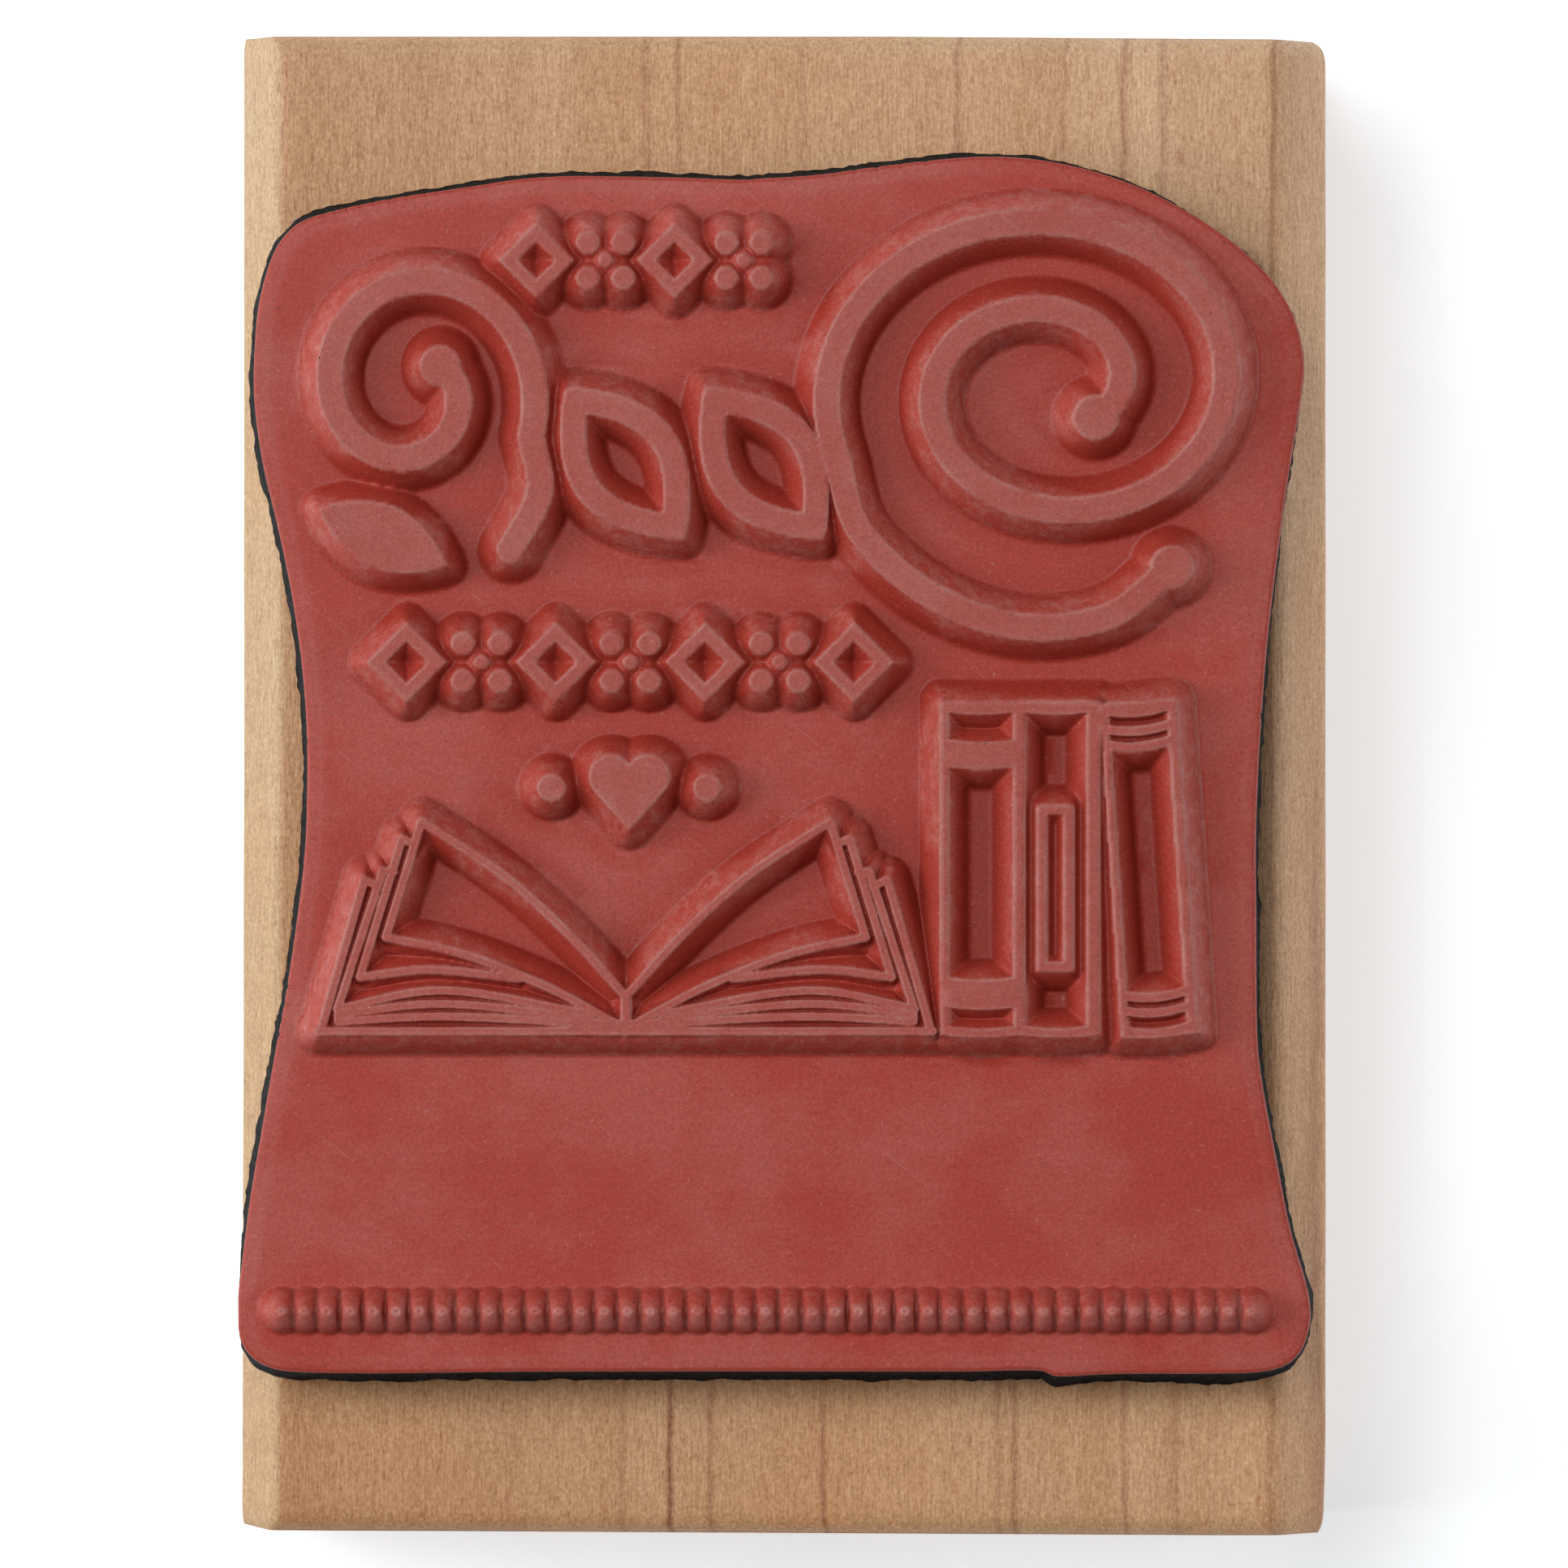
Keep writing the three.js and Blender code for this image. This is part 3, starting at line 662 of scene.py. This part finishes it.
def set_masks(mesh, pick, extra):
    """Masks of the worn, raised and sheltered areas and of the creases that get painted shade; the last
    `extra` points are the edge of the sheet.
    """
    nearest, relief, radius, inset = pick("nearest"), pick("relief"), pick("radius"), pick("inset")
    beads = (relief > 0.03) & (radius < 1.3 * DOT_RADIUS)
    printing = np.clip(-nearest / 0.02 + 1, 0, 1) * (nearest <= 0.001)
    ring = beads * (bell(radius - 0.15, 0.09) + 0.35 * bell(radius, 0.5))
    seams = beads * bell(pick("seam"), 0.09)
    edge = np.maximum(bell(nearest, 0.07), ring)
    open_ground = np.clip(np.maximum(pick("ahead") - 0.5, (nearest - 1.2) / 1.0), 0, 1)
    open_ground = np.where(beads, 0.7, open_ground)
    slope = ((relief > 0.02) & (nearest > 0.001)).astype(float)
    # Painted shade in the creases: narrow grooves, the seams between beads and the feet of the slopes.
    groove = bell(pick("second") + nearest, 0.45) * np.clip(nearest / 0.06, 0, 1)
    crease_shade = np.maximum(np.maximum(groove, seams), 0.6 * bell(nearest - SHOULDER, 0.14))
    # Paler dust near the cut edge, and a painted highlight line just inside its rounding.
    rim = bell(inset, 0.55) + bell(inset - 0.42, 0.12)
    for name, values in (
        ("printing", printing), ("edge", edge), ("slope", slope),
        ("crease_shade", crease_shade), ("rim", rim), ("open", open_ground),
    ):
        filler = np.full(extra, 1.0 if name == "rim" else 0.0)
        set_values(mesh, name, np.concatenate([values, filler]))


# ---- Foam cushion ------------------------------------------------------------------------------


def rough_field(columns, rows, scales):
    """Seeded noise over a closed strip, as a sum of smoothed layers."""
    total = np.zeros((columns, rows))
    for width, height, strength in scales:
        layer = random.standard_normal((columns, rows))
        for _ in range(2):
            layer = sum(np.roll(layer, s, 0) for s in range(-width, width + 1)) / (2 * width + 1)
            padded = np.pad(layer, ((0, 0), (height, height)), mode="edge")
            layer = sum(padded[:, s : s + rows] for s in range(2 * height + 1)) / (2 * height + 1)
        total += strength * layer / (layer.std() + 1e-9)
    return total


def build_foam():
    """Cushion whose cut edge flares towards the wood, most at the near end and least at the far right."""
    loop = die_outline(0.11)
    normals = outward_normals(loop)
    angle = np.degrees(np.arctan2(loop[:, 1], loop[:, 0]))
    far_right = bell(angle - 42, 26)
    near_end = np.clip(-normals[:, 1], 0, 1) ** 4
    far_end = np.clip(normals[:, 1], 0, 1) ** 4
    right_side = np.clip(normals[:, 0], 0, 1)
    flare = 0.34 - 0.2 * far_right + 0.22 * near_end + 0.05 * far_end - 0.08 * right_side
    levels = np.linspace(0, 1, 15)
    rough = rough_field(len(loop), len(levels), ((1, 0, 0.033), (3, 1, 0.03), (9, 2, 0.022)))
    rough[:, 0] *= 0.7
    vertices = []
    for k, level in enumerate(levels):
        offset = flare * (1 - level) ** 1.5 + 0.015 + rough[:, k] * (0.25 if level == 1 else 1)
        ring = loop + normals * offset[:, None]
        ring[:, 0] = np.clip(ring[:, 0], wood_low[0] + 0.02, wood_high[0] - 0.02)
        z = foam_low[2] + (foam_high[2] - foam_low[2]) * level
        vertices.append(np.column_stack([ring, np.full(len(loop), z)]))
    count = len(loop)
    polygons = [list(range(count))[::-1]]
    for k in range(len(levels) - 1):
        low = k * count + np.arange(count)
        high = low + count
        polygons += np.stack([low, np.roll(low, -1), np.roll(high, -1), high], -1).tolist()
    polygons.append(list(range((len(levels) - 1) * count, len(levels) * count)))
    return new_piece("foam_cushion_cut", np.vstack(vertices), polygons)


# ---- Wood block --------------------------------------------------------------------------------


def fillet_outline(corners, steps):
    """Closed outline with each corner (x, z, radius) rounded by an arc."""
    out = []
    for i, (x, z, radius) in enumerate(corners):
        p = np.array([x, z])
        to_previous = np.array(corners[i - 1][:2]) - p
        to_next = np.array(corners[(i + 1) % len(corners)][:2]) - p
        to_previous = to_previous / np.linalg.norm(to_previous)
        to_next = to_next / np.linalg.norm(to_next)
        half = math.acos(np.clip(to_previous @ to_next, -1, 1)) / 2
        middle = to_previous + to_next
        centre = p + middle / np.linalg.norm(middle) * radius / math.sin(half)
        start = p + to_previous * radius / math.tan(half) - centre
        turn = to_previous[0] * to_next[1] - to_previous[1] * to_next[0]
        sweep = (math.pi - 2 * half) * (1 if turn < 0 else -1)
        for s in range(steps + 1):
            a = sweep * s / steps
            out.append(
                centre + np.array(
                    [start[0] * math.cos(a) - start[1] * math.sin(a),
                     start[0] * math.sin(a) + start[1] * math.cos(a)]
                )
            )
    return np.array(out)


def densify(loop, spacing):
    """Adds points along the long straight runs of a closed loop."""
    out = []
    for a, b in zip(loop, np.roll(loop, -1, 0)):
        count = max(1, math.ceil(np.linalg.norm(b - a) / spacing))
        out += [a + (b - a) * k / count for k in range(count)]
    return np.array(out)


def block_profile():
    x, top = wood_high[0], wood_high[2]
    middle = (COVE_LOW_Z + COVE_HIGH_Z) / 2
    corners = [
        (-x, 0, 1.1), (x, 0, 1.1), (x, COVE_LOW_Z, 2.2), (x - COVE_DEPTH, middle, 9),
        (x, COVE_HIGH_Z, 2.2), (x, top - BEVEL_DROP, 1.15), (x - BEVEL_RIGHT, top, 1.5),
        (-x + BEVEL_LEFT, top, 0.9), (-x, top - BEVEL_DROP, 1.1), (-x, COVE_HIGH_Z, 2.2),
        (-x + COVE_DEPTH, middle, 9), (-x, COVE_LOW_Z, 2.2),
    ]
    return densify(fillet_outline(corners, 8), 0.8)


def soften_plan(points):
    """Ends sawn and sanded by hand: slightly bowed, a little long at the near right and narrower there."""
    x, y = points[:, 0].copy(), points[:, 1].copy()
    half_y = wood_high[1]
    end = np.clip((np.abs(y) - 25) / (half_y - 25), 0, 1)
    far = 0.09 - 0.14 * np.clip((x - 5) / 20, 0, 1)
    near = np.clip(-0.04 - 0.0055 * x, -0.15, 0.08) + 0.2 * np.clip((-x - 23.8) / 1.6, 0, 1) ** 1.5
    taper = np.clip((-y - 30) / 5, 0, 1) ** 1.5 * np.clip((x - 20) / 5, 0, 1)
    x = x - 0.15 * taper - 0.08 * np.clip(-y / half_y, 0, 1) * (x < 0)
    y = y + end * np.where(y > 0, far, near)
    return np.column_stack([x, y, points[:, 2]])


def build_block():
    """Bevelled profile swept along Y, with rounded ends, hand-sanded corners and slightly wavy sides."""
    profile = block_profile()
    normals = outward_normals(profile)
    half = wood_high[1]
    turns = np.linspace(0, math.pi / 2, 8)
    rounded = [(half - END_RADIUS * (1 - math.cos(a)), END_RADIUS * (1 - math.sin(a))) for a in turns]
    stations = [(-y, inset) for y, inset in rounded]
    stations += [(y, 0.0) for y in np.arange(-half + END_RADIUS + 0.8, half - END_RADIUS, 0.9)]
    stations += rounded[::-1]
    vertices = []
    for y, inset in stations:
        ring = profile - normals * min(inset, END_INSET)
        right_share = CORNER_RIGHT_FAR if y > 0 else CORNER_RIGHT_NEAR
        share = np.where(profile[:, 0] < 0, CORNER_LEFT, right_share)
        across = profile[:, 0] + (ring[:, 0] - profile[:, 0]) * share
        vertices.append(np.column_stack([across, np.full(len(ring), y), ring[:, 1]]))
    count = len(profile)
    polygons = [list(range(count))]
    for k in range(len(stations) - 1):
        low = k * count + np.arange(count)
        high = low + count
        polygons += np.stack([low, high, np.roll(high, -1), np.roll(low, -1)], -1).tolist()
    polygons.append(list(range((len(stations) - 1) * count, len(stations) * count))[::-1])
    points = soften_plan(np.vstack(vertices))
    wave = 0.035 * np.sin(points[:, 1] * 0.21 + 1.0) * np.sin(points[:, 2] * 0.3 + points[:, 0] * 0.08)
    points[:, 0] -= np.sign(points[:, 0]) * np.abs(wave)
    return new_piece("wood_block_sanded", points, polygons)


# ---- Materials ---------------------------------------------------------------------------------


class Graph:
    """Small helper that adds and joins shader nodes."""

    def __init__(self, name):
        self.material = bpy.data.materials.new(name)
        self.material.use_nodes = True
        self.nodes = self.material.node_tree.nodes
        self.links = self.material.node_tree.links
        self.shader = self.nodes["Principled BSDF"]

    def add(self, kind, inputs=None, **settings):
        node = self.nodes.new(kind)
        for key, value in settings.items():
            setattr(node, key, value)
        for key, value in (inputs or {}).items():
            self.put(node.inputs[key], value)
        return node

    def put(self, socket, value):
        if isinstance(value, bpy.types.NodeSocket):
            self.links.new(value, socket)
        else:
            socket.default_value = value

    def place(self, scale, turn=0.0):
        """Position in mm, turned about Z and stretched by `scale`."""
        coordinates = self.add("ShaderNodeTexCoord").outputs["Object"]
        turned = self.add("ShaderNodeMapping", {"Vector": coordinates, "Rotation": (0, 0, turn)}).outputs[0]
        factors = tuple(s / MM for s in scale)
        return self.add("ShaderNodeMapping", {"Vector": turned, "Scale": factors}).outputs[0]

    def noise(self, scale, detail=2.0, roughness=0.5, distortion=0.0, at=None):
        where = at if at is not None else self.place((scale,) * 3 if np.isscalar(scale) else scale)
        inputs = {
            "Vector": where, "Scale": 1.0, "Detail": detail, "Roughness": roughness,
            "Distortion": distortion,
        }
        return self.add("ShaderNodeTexNoise", inputs).outputs["Fac"]

    def ramp(self, value, *stops):
        node = self.add("ShaderNodeValToRGB", {"Fac": value})
        elements = node.color_ramp.elements
        while len(elements) < len(stops):
            elements.new(0.5)
        for element, (position, color) in zip(elements, stops):
            element.position = position
            element.color = (color,) * 3 + (1,) if np.isscalar(color) else tuple(color) + (1,)
        return node.outputs["Color"]

    def math(self, operation, a, b=0.0, clamp=False):
        node = self.add("ShaderNodeMath", {0: a, 1: b}, operation=operation, use_clamp=clamp)
        return node.outputs[0]

    def times(self, a, b):
        return self.math("MULTIPLY", a, b)

    def plus(self, a, b, clamp=False):
        return self.math("ADD", a, b, clamp)

    def minus(self, a, b):
        return self.math("SUBTRACT", a, b)

    def mix(self, factor, a, b, mode="MIX"):
        node = self.add("ShaderNodeMix", data_type="RGBA", blend_type=mode)
        self.put(node.inputs[0], factor)
        for socket, value in ((node.inputs[6], a), (node.inputs[7], b)):
            self.put(socket, tuple(value) + (1,) if isinstance(value, tuple) else value)
        return node.outputs[2]

    def vary(self, color, *parts):
        """Multiplies the colour by 1 plus each (value - 0.5) times its strength."""
        total = 1.0
        for value, strength in parts:
            total = self.plus(total, self.times(self.minus(value, 0.5), strength))
        return self.mix(1.0, color, total, "MULTIPLY")

    def mask(self, name):
        return self.add("ShaderNodeAttribute", attribute_name=name).outputs["Fac"]

    def finish(self, color, roughness, height, bump_mm, strength=1.0, specular=0.5):
        self.put(self.shader.inputs["Base Color"], color)
        self.put(self.shader.inputs["Roughness"], roughness)
        self.shader.inputs["Specular IOR Level"].default_value = specular
        relief = {"Height": height, "Strength": strength, "Distance": bump_mm * MM}
        bump = self.add("ShaderNodeBump", relief)
        self.links.new(bump.outputs[0], self.shader.inputs["Normal"])
        return self.material


def rubber_material():
    """Red rubber: pale dusty printing faces, worn edges and open slopes, a painted highlight line along the
    cut edge, and painted shade in creases and pits.
    """
    g = Graph("moulded_red_rubber")
    grain = g.noise(4.5, 2.0, 0.7)
    dust = g.noise(8.0, 1.0)
    specks = g.noise(5.0, 1.0)
    patches = g.noise(0.16, 4.0, 0.6)
    cloud = g.noise(0.6, 4.0, 0.6)
    scuff = g.ramp(g.noise((1.6, 1.1, 1.6), 5.0, 0.7, 0.8), (0.45, 0.0), (0.64, 1.0))
    streak = g.ramp(g.noise((0.5, 5.0, 1.0), 3.0, 0.6), (0.56, 0.0), (0.72, 1.0))
    scratch = g.ramp(g.noise(1.0, 2.0, 0.5, at=g.place((0.16, 6.0, 1.0), 0.7)), (0.66, 0.0), (0.72, 1.0))
    scratch = g.times(scratch, g.ramp(cloud, (0.45, 0.0), (0.6, 1.0)))
    opened = g.mask("open")
    slope = g.mask("slope")
    printing = g.mask("printing")
    sheet = g.mix(g.ramp(patches, (0.35, 0.0), (0.65, 1.0)), (0.375, 0.041, 0.026), (0.39, 0.05, 0.033))
    slopes = g.mix(cloud, (0.385, 0.038, 0.022), (0.4, 0.045, 0.028))
    # Sheltered pits: given the cleaner colour of the slopes, then darkened as painted shade.
    sheltered_pit_shade = g.times(g.minus(1.0, opened), g.minus(1.0, printing))
    color = g.mix(g.times(g.math("MAXIMUM", slope, sheltered_pit_shade), 0.9), sheet, slopes)
    color = g.mix(g.times(sheltered_pit_shade, 0.3), color, (0.25, 0.025, 0.016))
    # Painted shade: creases, bead seams and slope feet darkened.
    color = g.mix(g.times(g.mask("crease_shade"), 0.4), color, (0.16, 0.015, 0.011))
    edges = g.times(g.mask("edge"), g.ramp(cloud, (0.35, 0.05), (0.65, 0.2)))
    # Paler dust and a painted highlight line along the cut edge.
    rim = g.times(g.mask("rim"), 0.028)
    ground = g.times(g.minus(1.0, slope), g.ramp(patches, (0.4, 0.0), (0.6, 0.05)))
    worn = g.times(slope, g.plus(0.05, g.times(scuff, 0.14)))
    worn = g.times(opened, g.plus(worn, ground))
    worn = g.plus(worn, g.plus(g.times(streak, 0.03), g.times(scratch, 0.07)))
    haze = g.plus(edges, g.plus(rim, worn))
    haze = g.plus(haze, g.times(g.minus(dust, 0.5), 0.09), clamp=True)
    color = g.mix(haze, color, (0.64, 0.46, 0.42))
    bloom = g.times(printing, g.plus(0.02, g.times(cloud, 0.11)))
    color = g.mix(bloom, color, (0.42, 0.44, 0.42))
    color = g.vary(color, (grain, 0.5), (dust, 0.3))
    color = g.mix(g.ramp(specks, (0.71, 0.0), (0.77, 0.25)), color, (0.55, 0.3, 0.25))
    color = g.mix(g.ramp(specks, (0.22, 0.5), (0.28, 0.0)), color, (0.14, 0.02, 0.015))
    roughness = g.ramp(cloud, (0.3, 0.4), (0.7, 0.52))
    height = g.plus(grain, g.times(cloud, 1.2))
    return g.finish(color, roughness, height, 0.02, 0.5, specular=0.28)


def foam_material():
    """Matt black foam whose cut cells catch a little light."""
    g = Graph("black_closed_cell_foam")
    cells = g.noise(7.0, 4.0, 0.7)
    dark, mid, light = (0.006, 0.006, 0.007), (0.02, 0.019, 0.02), (0.085, 0.08, 0.078)
    color = g.ramp(cells, (0.35, dark), (0.56, mid), (0.74, light))
    return g.finish(color, 0.92, cells, 0.12, 1.0, specular=0.2)


def film_material(name, thin, thick):
    """Adhesive, blotched between the colours of its thin and its thick places."""
    g = Graph(name)
    blotch = g.noise(1.5, 3.0)
    color = g.mix(blotch, thin, thick)
    return g.finish(color, 0.45, blotch, 0.02, 0.4)


def growth_lines(g, x, y, z):
    """Dark growth lines that run along the block and curve down through its thickness."""
    drift = g.times(g.minus(g.noise((0.08, 0.04, 0.05), 3.0), 0.5), 1.2)
    waver = g.times(g.minus(g.noise((0.5, 0.35, 0.5), 4.0, 0.6), 0.5), 0.35)
    drift = g.plus(drift, waver)
    bow = g.times(g.math("POWER", g.minus(z, 30.0), 2.0), 0.011)
    ring = g.minus(g.plus(x, drift), g.minus(bow, 1.32))
    position = g.plus(g.math("DIVIDE", ring, LINE_SPAN), 0.5)
    drawn = []
    for growth in (FAR_LINES, NEAR_LINES):
        stops = [(0.0, 0.0)]
        for centre, width, strength in growth:
            for offset, value in ((-1.5 * width, 0.0), (0.0, strength), (0.6 * width, 0.0)):
                stops.append(((centre + offset) / LINE_SPAN + 0.5, value))
        drawn.append(g.ramp(position, *stops))
    nearer = g.plus(0.5, g.math("DIVIDE", y, -10.0), clamp=True)
    lines = g.mix(nearer, drawn[0], drawn[1])
    broken = g.ramp(g.noise((1.5, 0.22, 1.5), 3.0), (0.35, 0.7), (0.55, 1.0))
    return g.times(lines, broken)


def wood_material():
    """Sanded maple: fine fibres along Y, small flecks and speckle, and a painted highlight that pales the
    left bevel and the rounding of the far end.
    """
    g = Graph("sanded_maple")
    x, y, z = g.add("ShaderNodeSeparateXYZ", {0: g.place((1, 1, 1))}).outputs
    early = g.noise((0.35, 0.012, 0.35), 3.0, 0.6)
    fibre = g.noise((7.5, 0.8, 7.5), 3.0, 0.65, 0.15)
    fleck = g.noise((4.5, 1.1, 4.5), 2.0, 0.5, 0.6)
    speckle = g.noise((7.0, 5.0, 7.0), 2.0, 0.65)
    warm = g.noise((0.07, 0.05, 0.07), 2.0)
    color = g.mix(g.ramp(early, (0.35, 0.0), (0.65, 1.0)), (0.50, 0.285, 0.155), (0.585, 0.36, 0.215))
    color = g.mix(g.ramp(warm, (0.4, 0.0), (0.62, 0.55)), color, (0.52, 0.27, 0.125))
    color = g.mix(g.ramp(fibre, (0.36, 0.3), (0.52, 0.0)), color, (0.36, 0.165, 0.085))
    color = g.mix(g.ramp(fibre, (0.58, 0.0), (0.74, 0.45)), color, (0.66, 0.45, 0.28))
    color = g.mix(g.ramp(fleck, (0.63, 0.0), (0.72, 0.55)), color, (0.38, 0.16, 0.085))
    color = g.mix(growth_lines(g, x, y, z), color, (0.21, 0.045, 0.018))
    # Partly the wood's own tone and partly painted light: warmer and darker towards the near end, darker on
    # the left and brighter and paler on the right.
    near = g.plus(0.5, g.math("DIVIDE", y, -70.0), clamp=True)
    right = g.plus(0.5, g.math("DIVIDE", x, 50.0), clamp=True)
    color = g.mix(1.0, color, g.mix(near, (1.06, 1.02, 0.95), (0.98, 0.9, 0.77)), "MULTIPLY")
    color = g.mix(1.0, color, g.mix(right, (0.94, 0.92, 0.87), (1.13, 1.19, 1.25)), "MULTIPLY")
    # Painted highlight: faces turned to the left (the left bevel) and to the far end (its rounding) are
    # mixed towards a paler colour, standing in for the light they catch.
    normal = g.add("ShaderNodeSeparateXYZ", {0: g.add("ShaderNodeNewGeometry").outputs["True Normal"]})
    left_bevel_highlight = g.ramp(g.times(normal.outputs[0], -1.0), (0.15, 0.0), (0.4, 1.0))
    rounded = g.ramp(normal.outputs[1], (0.1, 0.0), (0.35, 0.35))
    sanded = g.math("MAXIMUM", left_bevel_highlight, rounded)
    color = g.mix(sanded, color, g.mix(1.0, color, (1.02, 1.26, 1.46), "MULTIPLY"))
    color = g.vary(color, (fibre, 0.25), (speckle, 0.55))
    color = g.mix(1.0, color, g.times(g.minus(speckle, 0.5), 0.19), "ADD")
    roughness = g.ramp(fibre, (0.3, 0.62), (0.7, 0.5))
    height = g.plus(fibre, g.times(speckle, 0.5))
    return g.finish(color, roughness, height, 0.05, 0.7, specular=0.5)


def floor_material():
    """White table that also glows a little, so that it stays white around the soft shadow."""
    g = Graph("white_table")
    tone = g.noise(0.02, 2.0)
    color = g.mix(tone, (0.86, 0.86, 0.86), (0.88, 0.88, 0.88))
    g.shader.inputs["Emission Color"].default_value = (0.87, 0.945, 1, 1)
    g.shader.inputs["Emission Strength"].default_value = FLOOR_GLOW
    return g.finish(color, 0.8, tone, 0.01, 0.1, specular=0.1)


# ---- Scene -------------------------------------------------------------------------------------


def set_camera():
    """A long lens straight above, framing FRAME_WIDTH at the height of the block's widest outline."""
    camera = bpy.data.cameras.new("camera")
    camera.sensor_width = 36
    camera.lens = 36 * CAMERA_DISTANCE / FRAME_WIDTH
    camera.clip_start = 0.01
    camera.clip_end = 10
    holder = bpy.data.objects.new("camera", camera)
    widest = wood_high[2] - BEVEL_DROP
    holder.location = (FRAME_SHIFT[0] * MM, FRAME_SHIFT[1] * MM, (widest + CAMERA_DISTANCE) * MM)
    bpy.context.scene.collection.objects.link(holder)
    bpy.context.scene.camera = holder


def area_light(name, place, size, power):
    light = bpy.data.lights.new(name, "AREA")
    light.shape = "RECTANGLE"
    light.size, light.size_y = size
    light.energy = power
    holder = bpy.data.objects.new(name, light)
    holder.location = place
    aim = Vector(LIGHT_TARGET) - Vector(place)
    holder.rotation_euler = aim.to_track_quat("-Z", "Y").to_euler()
    bpy.context.scene.collection.objects.link(holder)


def set_light():
    for name, (place, size, power) in LIGHTS.items():
        area_light(name, place, size, power)
    world = bpy.data.worlds.new("studio")
    bpy.context.scene.world = world
    world.use_nodes = True
    background = world.node_tree.nodes["Background"]
    background.inputs["Color"].default_value = (1, 1, 1, 1)
    background.inputs["Strength"].default_value = WORLD_STRENGTH
    bpy.context.scene.view_settings.view_transform = "Standard"


def set_floor():
    reach = FLOOR_REACH
    corners = [(-reach, -reach, 0), (reach, -reach, 0), (reach, reach, 0), (-reach, reach, 0)]
    floor = new_piece("table_top", corners, [[0, 1, 2, 3]], smooth=False)
    floor.data.materials.append(floor_material())


def dress(piece, material, body, node):
    piece.data.materials.append(material)
    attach(piece, body)
    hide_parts(node)


set_camera()
set_light()
set_floor()

block = build_block()
dress(block, wood_material(), "mount", "wood_block")

foam = build_foam()
dress(foam, foam_material(), "mount", "foam_cushion")
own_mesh(foam)

die = build_die(die_outline(0.3))
dress(die, rubber_material(), "die", "rubber_die")

for node, name, thin, thick in (
    ("mounting_adhesive_film", "dark_adhesive", (0.06, 0.035, 0.02), (0.1, 0.055, 0.03)),
    ("die_adhesive_film", "clear_adhesive", (0.3, 0.22, 0.15), (0.4, 0.32, 0.24)),
):
    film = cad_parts[node]
    film.data.materials.clear()
    film.data.materials.append(film_material(name, thin, thick))
